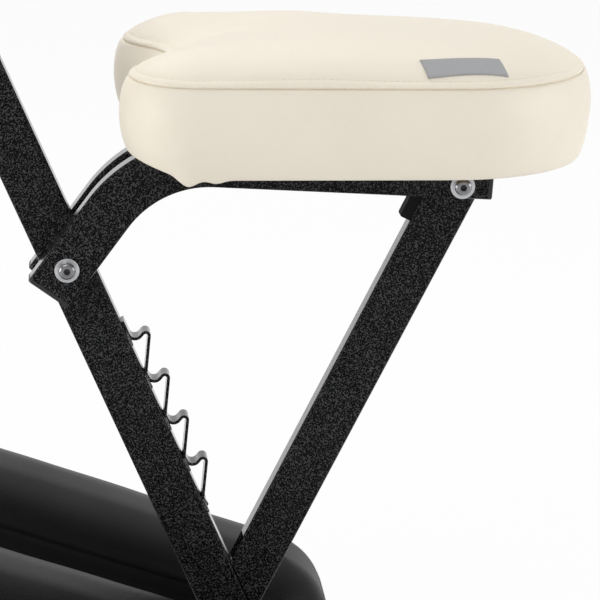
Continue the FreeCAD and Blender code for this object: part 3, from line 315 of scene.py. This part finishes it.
def turned_zinc_painted_shade(name, about):
    """Zinc of a bolt across the chair: turning marks, with painted shade that darkens the head and the socket."""
    head_edge, socket_edge = (0.0058, 0.0072), (0.0022, 0.0029)
    material, tree, shader, skin = zinc_base(name)
    centred = add_node(tree, "ShaderNodeMapping", Location=(-about[0], 0.0, -about[2]),
                       Scale=(1.0, 0.0, 1.0))
    marks = add_node(tree, "ShaderNodeTexWave", wave_type="RINGS", rings_direction="Y", Scale=330.0)
    length = add_node(tree, "ShaderNodeVectorMath", operation="LENGTH")
    link_nodes(tree, (object_place(tree), centred.inputs["Vector"]),
               (centred.outputs["Vector"], marks.inputs["Vector"]),
               (centred.outputs["Vector"], length.inputs[0]))
    radius, tone = length.outputs["Value"], skin.outputs["Tone"]
    # Painted shade: the colour is darkened over the bolt head for its dark reflections, and nearly to black in the
    # hex socket's recess
    head = map_range(tree, radius, From_Min=head_edge[0], From_Max=head_edge[1], To_Min=0.42)
    socket = map_range(tree, radius, From_Min=socket_edge[0], From_Max=socket_edge[1],
                       To_Min=0.06)
    shade = math_node(tree, "MULTIPLY", head, socket)
    bright = math_node(tree, "MULTIPLY", shade, stretch(tree, tone, 0.8, 1.0))
    colour = mix_colours(tree, bright, (0.03, 0.03, 0.031), (0.72, 0.72, 0.73))
    finish_surface(tree, shader, colour, tone, 0.14, 0.26)
    raise_bump(tree, shader, marks.outputs["Fac"], 0.00009)
    return material


def birch_ply():
    """Sealed plywood: long wavy grain and darker pores."""
    material, tree, shader = new_material("birch_ply", Specular_IOR_Level=0.35)
    long_way = add_node(tree, "ShaderNodeMapping", Scale=(6.0, 90.0, 90.0))
    grain = add_node(tree, "ShaderNodeTexNoise", Scale=3.0, Detail=6.0, Distortion=0.6)
    link_nodes(tree, (object_place(tree), long_way.inputs["Vector"]),
               (long_way.outputs["Vector"], grain.inputs["Vector"]))
    figure = grain.outputs["Fac"]
    colour = mix_colours(tree, figure, (0.30, 0.19, 0.09), (0.60, 0.44, 0.25))
    finish_surface(tree, shader, colour, figure, 0.5, 0.66)
    raise_bump(tree, shader, figure, 0.0002)
    return material


def woven_tape():
    """Grey woven tape: fine ribs in both directions."""
    material, tree, shader = new_material("woven_tape", Specular_IOR_Level=0.25)
    place = object_place(tree)
    ribs = []
    for axis in ("X", "Y"):
        rib = add_node(tree, "ShaderNodeTexWave", bands_direction=axis, Scale=420.0)
        tree.links.new(place, rib.inputs["Vector"])
        ribs.append(rib.outputs["Fac"])
    weave = math_node(tree, "MULTIPLY", *ribs)
    colour = mix_colours(tree, weave, (0.37, 0.37, 0.372), (0.52, 0.52, 0.522))
    finish_surface(tree, shader, colour, weave, 0.7, 0.85)
    raise_bump(tree, shader, weave, 0.0002)
    return material


CREAM = leather("cream_leather", (0.80, 0.725, 0.595), (0.86, 0.79, 0.66),
                rough=0.5, pebble=950.0, depth=0.00012, gleam=0.55)
VINYL = leather("black_vinyl", (0.004, 0.004, 0.0043), (0.0065, 0.0065, 0.0068),
                rough=0.5, pebble=800.0, depth=0.0002, gleam=0.12, sheen=0.27)
COAT = hammered("hammered_black", (0.0012, 0.0012, 0.0014), (0.056, 0.056, 0.057))
# Painted highlight: the weld beads get a paler ground and paler flecks than the frame's black coat, standing in
# for the light their bumps catch
WELD_PAINTED_HIGHLIGHT = hammered("welded_black_painted_highlight", (0.012, 0.012, 0.0125), (0.13, 0.13, 0.132), gleam=0.7)
PLASTIC = moulded("moulded_black", (0.010, 0.010, 0.011), (0.018, 0.018, 0.019), rough=0.42)
RUBBER = moulded("rubber_black", (0.004, 0.004, 0.004), (0.008, 0.008, 0.008),
                 rough=0.72, gleam=0.15)
ZINC = zinc_plate()
PLY = birch_ply()
THREAD = leather("cream_thread", (0.82, 0.745, 0.62), (0.88, 0.81, 0.68),
                 rough=0.7, pebble=2600.0, depth=0.0001)
BLACK_THREAD = leather("black_thread", (0.005, 0.005, 0.0053), (0.008, 0.008, 0.0083),
                       rough=0.7, pebble=2600.0, depth=0.0001, gleam=0.2)
WOVEN = woven_tape()
SLOT_FINISH = {"cream_leather": CREAM, "black_leather": VINYL, "black_paint": COAT,
               "black_plastic": PLASTIC, "zinc_steel": ZINC, "black_rubber": RUBBER,
               "plywood": PLY}


def give_finish(node, material):
    node.data.materials.clear()
    node.data.materials.append(material)


for part in frame["record"]["subparts"]:
    give_finish(NODES[part["node"]], SLOT_FINISH[part["material_slot"]])
for label in ("seat_pivot_bolt", "strut_pivot_bolt", "leg_pivot_bolt"):
    corners = [Vector(corner) for corner in NODES[label].bound_box]
    middle = sum(corners, Vector()) / len(corners)
    give_finish(NODES[label], turned_zinc_painted_shade(label + "_zinc", middle))


# Meshes from rows of points
def smooth_faces(mesh):
    for face in mesh.polygons:
        face.use_smooth = True


def make_piece(name, mesh, material, body):
    """A smooth piece of the scene that rides on a body."""
    item = bpy.data.objects.new(name, mesh)
    bpy.context.scene.collection.objects.link(item)
    mesh.materials.append(material)
    smooth_faces(mesh)
    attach(item, body)
    return item


def mesh_of(name, form):
    """Mesh of a finished form, which is let go."""
    mesh = bpy.data.meshes.new(name)
    form.to_mesh(mesh)
    form.free()
    return mesh


def subdivide(item):
    finer = item.modifiers.new("finer", "SUBSURF")
    finer.levels = finer.render_levels = 1


def lofted(name, rows, placement, material, body):
    """Closed skin through closed rows of equal length; its first and last rows are filled in."""
    form = bmesh.new()
    made = [[form.verts.new(placement @ Vector(point)) for point in row] for row in rows]
    count = len(rows[0])
    for lower, upper in zip(made, made[1:]):
        for i in range(count):
            after = (i + 1) % count
            form.faces.new((lower[i], lower[after], upper[after], upper[i]))
    bmesh.ops.remove_doubles(form, verts=made[0] + made[-1], dist=0.0004)
    open_edges = [edge for edge in form.edges if edge.is_boundary]
    closing = bmesh.ops.holes_fill(form, edges=open_edges, sides=0)
    bmesh.ops.triangulate(form, faces=closing["faces"])
    bmesh.ops.recalc_face_normals(form, faces=form.faces)
    item = make_piece(name, mesh_of(name, form), material, body)
    subdivide(item)
    return item


# Outlines from above, as closed counterclockwise lines of points
OUTLINE_STEP = 5.0


def on_arc(centre, radius, angle):
    return (centre[0] + radius * math.cos(angle), centre[1] + radius * math.sin(angle))


def arc_points(centre, radius, first, last):
    """Points on an arc, without its last one."""
    count = max(3, round(abs(last - first) * radius / OUTLINE_STEP))
    return [on_arc(centre, radius, first + (last - first) * i / count) for i in range(count)]


def line_points(first, last):
    """Points on a straight line, without its last one."""
    count = max(1, round(math.dist(first, last) / OUTLINE_STEP))
    return [(first[0] + (last[0] - first[0]) * i / count,
             first[1] + (last[1] - first[1]) * i / count) for i in range(count)]


def seat_outline():
    """Half-round rear, tapering sides, two front lobes and the notch between them."""
    front, back, half_width, notch_deep = 36.0, 418.0, 140.0, 34.0
    lobe, rear = 58.0, 132.0
    lobe_x, lobe_y, rear_x = front + lobe, half_width - lobe, back - rear
    shift = lobe - notch_deep
    notch = (lobe_y ** 2 + shift ** 2 - lobe ** 2) / (2 * (lobe - shift))
    notch_x = front + notch_deep - notch
    meet = math.atan2(lobe_y, lobe_x - notch_x)
    apart = math.hypot(rear_x - lobe_x, lobe_y)
    side = math.pi / 2 - math.asin((lobe - rear) / apart) - math.atan2(lobe_y, rear_x - lobe_x)
    right_lobe, left_lobe, rear_middle = (lobe_x, lobe_y), (lobe_x, -lobe_y), (rear_x, 0.0)
    return (arc_points(rear_middle, rear, -side, side)
            + line_points(on_arc(rear_middle, rear, side), on_arc(right_lobe, lobe, side))
            + arc_points(right_lobe, lobe, side, math.pi + meet)
            + arc_points((notch_x, 0.0), notch, meet, -meet)
            + arc_points(left_lobe, lobe, math.pi - meet, 2 * math.pi - side)
            + line_points(on_arc(left_lobe, lobe, -side), on_arc(rear_middle, rear, -side)))


def block_outline(length, width, corner):
    """A rounded rectangle."""
    a, b, turn = length / 2 - corner, width / 2 - corner, math.pi / 2
    centres = [(a, b), (-a, b), (-a, -b), (a, -b)]
    points = []
    for quarter, centre in enumerate(centres):
        end = (quarter + 1) * turn
        points += arc_points(centre, corner, quarter * turn, end)
        following = centres[(quarter + 1) % len(centres)]
        points += line_points(on_arc(centre, corner, end), on_arc(following, corner, end))
    return points


def outward(points):
    """Unit normals of a closed line, outwards for a counterclockwise one."""
    found = []
    for i, point in enumerate(points):
        before, after = points[i - 1], points[(i + 1) % len(points)]
        run = Vector((after[0] - before[0], after[1] - before[1])).normalized()
        found.append((run[1], -run[0]))
    return found


class Upholstery:
    """A pad on its board: underside, side band, seam and crown, as rows around one outline.

    band has (inset from the outline, height) rows from the underside up to the seam, crown the
    seam's height, the top's height and the reach of the rise, core the box that the rows close
    on (low x, high x, half width), and tuck the distance of the seam inside the outline.
    """

    STITCH_INSET = 6.5                      # topstitch, measured from the seam
    STITCH_DIP, STITCH_SPREAD = 0.7, 1.9    # how the thread pulls the crown down
    SWELL, SWELL_LENGTH = 1.1, 70.0         # slow unevenness of the stuffing
    PUCKER, PUCKER_LENGTH = 0.9, 11.0       # short puckers at the seam
    PUCKER_REACH_IN, PUCKER_REACH_DOWN = 9.0, 12.0
    EVEN_EDGE = 6.0                         # the crown's unevenness grows over this distance
    PLAIN_INSET = 5.0                       # band rows further in than this are even
    CROWN_SHARES = (0.015, 0.03, 0.042, 0.052, 0.062, 0.074, 0.09, 0.12, 0.16, 0.22, 0.30, 0.38,
                    0.48, 0.60, 0.74, 0.88, 1.0)    # of the way from the seam to the core

    def __init__(self, outline, band, crown, core, seed, tuck, fit=None, dome=None):
        self.outline, self.normals = outline, outward(outline)
        self.seam = self.moved_in(outline, tuck)
        self.band, self.crown, self.core, self.seed = band, crown, core, seed
        self.fit = fit or (lambda x, y, z, row: z)
        self.dome = dome or (lambda x, y: 0.0)

    def moved_in(self, line, inset):
        return [(p[0] - n[0] * inset, p[1] - n[1] * inset) for p, n in zip(line, self.normals)]

    def height_at(self, x, y):
        """Height of the crown over a place."""
        seam_high, top, reach = self.crown
        inset = min(math.dist((x, y), spot) for spot in self.seam)
        share = 1 - math.exp(-inset / reach)
        off_stitch = (inset - self.STITCH_INSET) / self.STITCH_SPREAD
        z = seam_high + (top + self.dome(x, y) - seam_high) * share
        z -= self.STITCH_DIP * math.exp(-off_stitch ** 2)
        return z + self.ripple(x, y, z, inset) * min(1.0, inset / self.EVEN_EDGE)

    def ripple(self, x, y, z, inset):
        """Small unevenness of the stuffing, and puckers that fade away from the seam."""
        swell = Vector((x / self.SWELL_LENGTH, y / self.SWELL_LENGTH,
                        z / self.SWELL_LENGTH + self.seed))
        pucker = Vector((x / self.PUCKER_LENGTH, y / self.PUCKER_LENGTH, self.seed))
        near = (math.exp(-abs(inset) / self.PUCKER_REACH_IN)
                * math.exp(-abs(z - self.crown[0]) / self.PUCKER_REACH_DOWN))
        return noise.noise(swell) * self.SWELL + noise.noise(pucker) * self.PUCKER * near

    def at_core(self, point):
        low, high, half = self.core
        return (min(max(point[0], low), high), min(max(point[1], -half), half))

    def underside_row(self):
        low = self.band[0][1]
        cores = [self.at_core(point) for point in self.outline]
        return [(x, y, self.fit(x, y, low, 0)) for x, y in cores]

    def band_row(self, number, inset, z):
        row = []
        for point, normal in zip(self.outline, self.normals):
            uneven = 0.0 if inset > self.PLAIN_INSET else self.ripple(*point, z, 0.0)
            push = uneven - inset
            x, y = point[0] + normal[0] * push, point[1] + normal[1] * push
            row.append((x, y, self.fit(x, y, z, number)))
        return row

    def crown_row(self, share):
        row = []
        for point in self.seam:
            core = self.at_core(point)
            x = point[0] + (core[0] - point[0]) * share
            y = point[1] + (core[1] - point[1]) * share
            row.append((x, y, self.height_at(x, y)))
        return row

    def rows(self):
        return ([self.underside_row()]
                + [self.band_row(number, *row) for number, row in enumerate(self.band)]
                + [self.crown_row(share) for share in self.CROWN_SHARES])

    def topstitch(self, lift):
        """The line of the topstitch, lifted a little off the crown."""
        return [(x, y, self.height_at(x, y) + lift)
                for x, y in self.moved_in(self.seam, self.STITCH_INSET)]


STITCH_LONG, STITCH_GAP = 4.4, 0.7
STITCH_HALF_SIZE = (STITCH_LONG / 2, 0.3, 0.24)


def stitched(name, line, placement, body, material):
    """A closed row of stitches: small drops of thread that follow the line."""
    form = bmesh.new()
    spots = [Vector(p) for p in line] + [Vector(line[0])]
    wait = 0.0
    for first, last in zip(spots, spots[1:]):
        run = (last - first).length
        way = (last - first).normalized()
        turn = way.to_track_quat("X", "Z").to_matrix().to_4x4()
        while wait < run:
            shape = (Matrix.Translation(first + way * wait) @ turn
                     @ Matrix.Diagonal((*STITCH_HALF_SIZE, 1)))
            bmesh.ops.create_icosphere(form, subdivisions=1, radius=1.0, matrix=placement @ shape)
            wait += STITCH_LONG + STITCH_GAP
        wait -= run
    make_piece(name, mesh_of(name, form), material, body)


# Seat: cream pad with a sewn top panel, a topstitch beside the seam, and a plain cloth tag.
# The pad is raked a little against the board that its lower edge wraps.
RAKE, RAKE_LINE = math.radians(2.2), Vector((330.0, 0.0, 111.0))
SEAT_FRAME = (side_frame(PIVOT, SEAT_SLOPE) @ Matrix.Translation(RAKE_LINE)
              @ Matrix.Rotation(-RAKE, 4, "Y") @ Matrix.Translation(-RAKE_LINE))
SEAT_TUCK = 5.0
SEAT_BAND = [(7.5, 124.0), (7.5, 114.6), (7.3, 112.0), (6.7, 111.0), (5.9, 111.6), (4.6, 114.8),
             (2.7, 121.5), (0.9, 131.0), (-0.5, 142.0), (-1.2, 152.0), (-1.1, 160.0),
             (-0.3, 167.0), (1.0, 172.8), (2.6, 177.2), (4.1, 180.2), (5.4, 181.5), (9.0, 181.3),
             (5.5, 182.7)]
BOARD_LOW, BOARD_TOP = 113.4, 10.2                  # underside at the rake line, and top over it
HEM_RISE = 12.0                                     # the lower edge is drawn up at the lobes
HEM_HEIGHTS, HEM_LENGTHS = (150.0, 111.0), (86.0, 44.0)
HEM_ROWS = range(1, 5)                              # rows of the band round its lower edge
PLEATS = [(86.0, 6.5, 12.0), (108.0, 3.5, 9.0)]     # place, drop and half width of each
PLEATS_FROM = 60.0                                  # they lie outside this half width
ARM_WIDTHS, ARM_END = (42.0, 34.0), 100.0           # where the lower edge clears the seat's arms


def seat_fit(x, y, z, row):
    """Keeps the underside on the board, and draws up, pleats and lifts the lower edge."""
    board_low = BOARD_LOW + (RAKE_LINE[0] - x) * math.tan(RAKE)
    if row == 0:
        return board_low + BOARD_TOP
    z += HEM_RISE * ramp(z, *HEM_HEIGHTS) * ramp(x, *HEM_LENGTHS)
    if row in HEM_ROWS and abs(y) > PLEATS_FROM:
        z -= sum(drop * max(0.0, 1.0 - abs(x - at) / wide) for at, drop, wide in PLEATS)
    over_arms = ramp(abs(y), *ARM_WIDTHS) if x < ARM_END else 0.0
    return z + max(0.0, board_low - z) * over_arms


REAR_FALL, REAR_LENGTHS = 4.0, (190.0, 300.0)
LOBE_FALL, LOBE_LENGTHS = 3.5, (180.0, 70.0)
GATHER_AT, GATHER_HIGH, GATHER_REACH = 66.0, 5.0, 24.0      # round a place behind the notch
GATHER_COUNT, GATHER_TURN = 9.0, 0.6


def seat_dome(x, y):
    """The crown falls a little to the rear and to the lobes, and is gathered round the notch."""
    falls = REAR_FALL * ramp(x, *REAR_LENGTHS) + LOBE_FALL * ramp(x, *LOBE_LENGTHS)
    from_notch = math.hypot(x - GATHER_AT, y)
    wave = math.sin(GATHER_COUNT * math.atan2(y, x - GATHER_AT) + GATHER_TURN)
    return GATHER_HIGH * math.exp(-from_notch / GATHER_REACH) * wave - falls


seat = Upholstery(seat_outline(), SEAT_BAND, crown=(183.2, 212.5, 31.0), core=(150.0, 286.0, 30.0),
                  seed=3.1, tuck=SEAT_TUCK, fit=seat_fit, dome=seat_dome)
seat_skin = lofted("seat_cushion", seat.rows(), SEAT_FRAME, CREAM, "seat")
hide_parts("seat_pad")
stitched("seat_topstitch", seat.topstitch(0.2), SEAT_FRAME, "seat", THREAD)

NEAR_SIDE = -60.0
TAG_ENDS = (272.0, 333.0)               # along the seat, at the near side's edge
TAG_INWARDS = Vector((-0.2, 0.98))      # from the edge to the seat's middle
TAG_START, TAG_STEP, TAG_LIFT = 8.0, 2.15, 0.8
TAG_ROWS, TAG_COLUMNS = 11, 25
TAG_THICK = 0.6 * MM


def sewn_tag():
    """A plain woven tag whose lower edge lies by the topstitch, on the seat's near rear side."""
    near = [p for p in seat.outline if p[1] < NEAR_SIDE]
    first, last = [min(near, key=lambda p: abs(p[0] - end)) for end in TAG_ENDS]
    form = bmesh.new()
    rows = []
    for step in range(TAG_ROWS):
        row = []
        for column in range(TAG_COLUMNS):
            base = Vector(first).lerp(Vector(last), column / (TAG_COLUMNS - 1))
            x, y = base + TAG_INWARDS * (SEAT_TUCK + TAG_START + TAG_STEP * step)
            place = Vector((x, y, seat.height_at(x, y) + TAG_LIFT))
            row.append(form.verts.new(SEAT_FRAME @ place))
        rows.append(row)
    for low, high in zip(rows, rows[1:]):
        for i in range(TAG_COLUMNS - 1):
            form.faces.new((low[i], low[i + 1], high[i + 1], high[i]))
    tag = make_piece("seat_tag", mesh_of("seat_tag", form), WOVEN, "seat")
    tag.modifiers.new("thickness", "SOLIDIFY").thickness = TAG_THICK


sewn_tag()


# Straight pads on boards
CORE_MARGIN = 6.0
CREAM_SET = ("cream_leather", CREAM, THREAD)
BLACK_SET = ("black_leather", VINYL, BLACK_THREAD)


def block_pad(name, node, placement, body, size, seam, covering, seed):
    """A pad of a size (length, width, height over the board's underside, corner) with a seam."""
    length, width, top, corner = size
    slot, material, thread = covering
    band = [(9.0, 13.0), (8.2, 2.4), (5.6, 0.4), (2.4, 1.2), (0.4, 5.0), (-1.0, seam * 0.34),
            (-1.8, seam * 0.56), (-1.3, seam * 0.76), (-0.2, seam - 5.0), (1.3, seam - 1.9),
            (2.6, seam - 0.6), (4.4, seam - 0.3), (3.0, seam + 1.0)]
    core_length = length / 2 - corner - CORE_MARGIN
    core_width = max(width / 2 - corner - CORE_MARGIN, 0.0)
    pad = Upholstery(block_outline(length, width, corner), band, crown=(seam + 1.6, top, 24.0),
                     core=(-core_length, core_length, core_width), seed=seed, tuck=2.0)
    skin = lofted(name, pad.rows(), placement, material, body)
    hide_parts(node)
    stitched(name + "_topstitch", pad.topstitch(0.25), placement, body, thread)


def knee_frame(along, over, y):
    """Local frame measured along the knee rest's sloping rails and over them."""
    point = (KNEE_HINGE[0] + along * math.cos(KNEE_SLOPE) + over * math.sin(KNEE_SLOPE),
             KNEE_HINGE[1] - along * math.sin(KNEE_SLOPE) + over * math.cos(KNEE_SLOPE))
    return side_frame(point, KNEE_SLOPE, y)


for label, side in (("left", -1), ("right", 1)):
    block_pad(f"knee_cushion_{label}", f"knee_pad_{label}",
              knee_frame(-102.0, 10.0, side * 118.0), "knee_rest",
              size=(400.0, 155.0, 80.0, 55.0), seam=44.0, covering=BLACK_SET, seed=5.0 + side)

# Chest pad, facing the sitter on the post's rear side
block_pad("chest_cushion", "chest_pad",
          side_frame(post_point(490.0, 27.3), math.pi / 2 - POST_LEAN), "chest",
          size=(290.0, 280.0, 67.0, 60.0), seam=40.0, covering=CREAM_SET, seed=9.3)

# Armrest pad across the front
block_pad("armrest_cushion", "armrest_pad",
          side_frame((REST_HINGE[0] - 216.0, REST_HINGE[1] + 21.5), 0.0), "armrest",
          size=(160.0, 480.0, 62.0, 50.0), seam=38.0, covering=CREAM_SET, seed=12.7)

# Face cradle: a stuffed horseshoe, swelled from the solid it stands for
STUFFING_VOXEL = 0.005
SWELL_CAP = 0.006
SWELL_FRAMES = 20
SWELL_PRESSURE = 4.0


def settle(item):
    """Turns the shape that the modifiers give into the piece's own mesh."""
    shaped = item.evaluated_get(bpy.context.evaluated_depsgraph_get())
    mesh = bpy.data.meshes.new_from_object(shaped)
    item.modifiers.clear()
    item.data = mesh


def swell(item):
    """Blows the piece up a little as cloth; no point moves further than the cap."""
    start = [vertex.co.copy() for vertex in item.data.vertices]
    cloth = item.modifiers.new("cloth", "CLOTH")
    cloth.settings.use_pressure = True
    cloth.settings.uniform_pressure_force = SWELL_PRESSURE
    cloth.settings.effector_weights.gravity = 0.0
    cloth.settings.quality = 5
    cloth.point_cache.frame_end = SWELL_FRAMES
    for step in range(SWELL_FRAMES):
        bpy.context.scene.frame_set(step + 1)
    settle(item)
    for vertex, before in zip(item.data.vertices, start):
        moved = vertex.co - before
        if moved.length > SWELL_CAP:
            vertex.co = before + moved.normalized() * SWELL_CAP
    bpy.context.scene.frame_set(1)


def stuffed(name, node, body, material):
    """Soft skin for an odd shape: the solid remeshed, softened and swelled."""
    mesh = NODES[node].data.copy()
    mesh.materials.clear()
    item = make_piece(name, mesh, material, body)
    bpy.context.view_layer.objects.active = item
    remesh = item.modifiers.new("even", "REMESH")
    remesh.mode = "VOXEL"
    remesh.voxel_size = STUFFING_VOXEL
    soft = item.modifiers.new("soft", "SMOOTH")
    soft.factor, soft.iterations = 0.5, 14
    settle(item)
    swell(item)
    smooth_faces(item.data)
    subdivide(item)
    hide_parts(node)


stuffed("cradle_cushion", "cradle_pad", "cradle", CREAM)


# Weld beads: short rows of overlapping drops on both sides of the rack's feet on the post
WELD_RADIUS = 1.7
RACK_FEET = [86.0 + 40.0 * step for step in range(5)]   # down the post from the seat's pivot
RACK_BACK, RACK_HALF = 20.3, 8.2                        # the post's rear face, the strip's side
WELD_FROM, WELD_TO = 11.0, 1.0                          # up the post from a foot


def weld_row(form, first, last):
    """Overlapping drops of uneven size between two places in millimetres."""
    count = max(2, round((last - first).length / (WELD_RADIUS * 0.75)))
    for i in range(count + 1):
        spot = first.lerp(last, i / count)
        size = WELD_RADIUS * (0.85 + 0.3 * abs(noise.noise(spot / 3)))
        bmesh.ops.create_icosphere(form, subdivisions=2, radius=size * MM,
                                   matrix=Matrix.Translation(spot * MM))


def on_rack(up, side):
    x, z = post_point(up, RACK_BACK)
    return Vector((x, side * RACK_HALF, z))


def rack_welds():
    form = bmesh.new()
    for foot in RACK_FEET:
        for side in (-1, 1):
            weld_row(form, on_rack(WELD_FROM - foot, side), on_rack(WELD_TO - foot, side))
    make_piece("rack_welds", mesh_of("rack_welds", form), WELD_PAINTED_HIGHLIGHT, "frame")


rack_welds()


# Stage: white floor and backdrop, and soft light
WORLD_COLOUR, WORLD_STRENGTH = (0.62, 0.63, 0.65, 1.0), 0.77
WHITE = (1.0, 1.0, 1.0, 1.0)
FLOOR_COLOUR, FLOOR_WHITENESS = (0.9, 0.9, 0.9, 1.0), 0.93
FLOOR_HALF, FLOOR_LEVEL = 40.0, -0.001      # just under the feet


def white_where(tree, vector):
    """1 for what the camera sees, and for mirrored rays that go to the backdrop's side."""
    path = tree.nodes.new("ShaderNodeLightPath")
    split = tree.nodes.new("ShaderNodeSeparateXYZ")
    tree.links.new(vector, split.inputs["Vector"])
    behind = map_range(tree, split.outputs["Y"], From_Min=-0.25, From_Max=0.25)
    mirrored = math_node(tree, "MULTIPLY", path.outputs["Is Glossy Ray"], behind)
    shown = math_node(tree, "MAXIMUM", path.outputs["Is Camera Ray"], mirrored)
    return math_node(tree, "MAXIMUM", shown, path.outputs["Is Transmission Ray"])


def blend_shaders(tree, factor, first, second, output):
    blend = tree.nodes.new("ShaderNodeMixShader")
    link_nodes(tree, (factor, blend.inputs["Fac"]), (first, blend.inputs[1]),
               (second, blend.inputs[2]),
               (blend.outputs["Shader"], tree.nodes[output].inputs["Surface"]))


def set_world():
    """Grey light all round, which the camera sees as white."""
    world = bpy.data.worlds.new("studio")
    bpy.context.scene.world = world
    world.use_nodes = True
    tree = world.node_tree
    ground = tree.nodes["Background"]
    ground.inputs["Color"].default_value = WORLD_COLOUR
    ground.inputs["Strength"].default_value = WORLD_STRENGTH
    white = add_node(tree, "ShaderNodeBackground", Color=WHITE, Strength=1.0)
    way = tree.nodes.new("ShaderNodeTexCoord").outputs["Generated"]
    blend_shaders(tree, white_where(tree, way), ground.outputs["Background"],
                  white.outputs["Background"], "World Output")


def set_floor():
    """A wide pale floor that the camera sees as nearly white."""
    mesh = bpy.data.meshes.new("floor")
    corners = [(-1, -1), (1, -1), (1, 1), (-1, 1)]
    mesh.from_pydata([(x * FLOOR_HALF, y * FLOOR_HALF, FLOOR_LEVEL) for x, y in corners],
                     [], [(0, 1, 2, 3)])
    floor = bpy.data.objects.new("floor", mesh)
    bpy.context.scene.collection.objects.link(floor)
    material, tree, shader = new_material("pale_floor", Roughness=0.8, Base_Color=FLOOR_COLOUR)
    bright = add_node(tree, "ShaderNodeEmission", Strength=1.0)
    spot = tree.nodes.new("ShaderNodeNewGeometry").outputs["Position"]
    seen = math_node(tree, "MULTIPLY", white_where(tree, spot), FLOOR_WHITENESS)
    blend_shaders(tree, seen, shader.outputs["BSDF"], bright.outputs["Emission"],
                  "Material Output")
    mesh.materials.append(material)


LAMP_TARGET = Vector((0.15, 0.0, 0.5))
LAMPS = [("overhead", (-0.1, 1.7, 2.8), 2.4, 33.0),     # name, place, width, watts
         ("side_left", (-2.5, -1.0, 0.6), 1.6, 30.0),
         ("side_right", (2.8, -0.9, 1.0), 1.6, 29.0),
         ("front_fill", (-0.7, -1.7, 2.5), 1.8, 15.0)]


def add_softbox(name, place, size, power):
    """A round soft lamp that faces the chair."""
    data = bpy.data.lights.new(name, "AREA")
    data.shape = "DISK"
    data.size = size
    data.energy = power
    lamp = bpy.data.objects.new(name, data)
    lamp.location = place
    lamp.rotation_euler = (Vector(place) - LAMP_TARGET).to_track_quat("Z", "Y").to_euler()
    bpy.context.scene.collection.objects.link(lamp)


set_world()
set_floor()
for lamp_values in LAMPS:
    add_softbox(*lamp_values)
bpy.context.scene.view_settings.view_transform = "Standard"
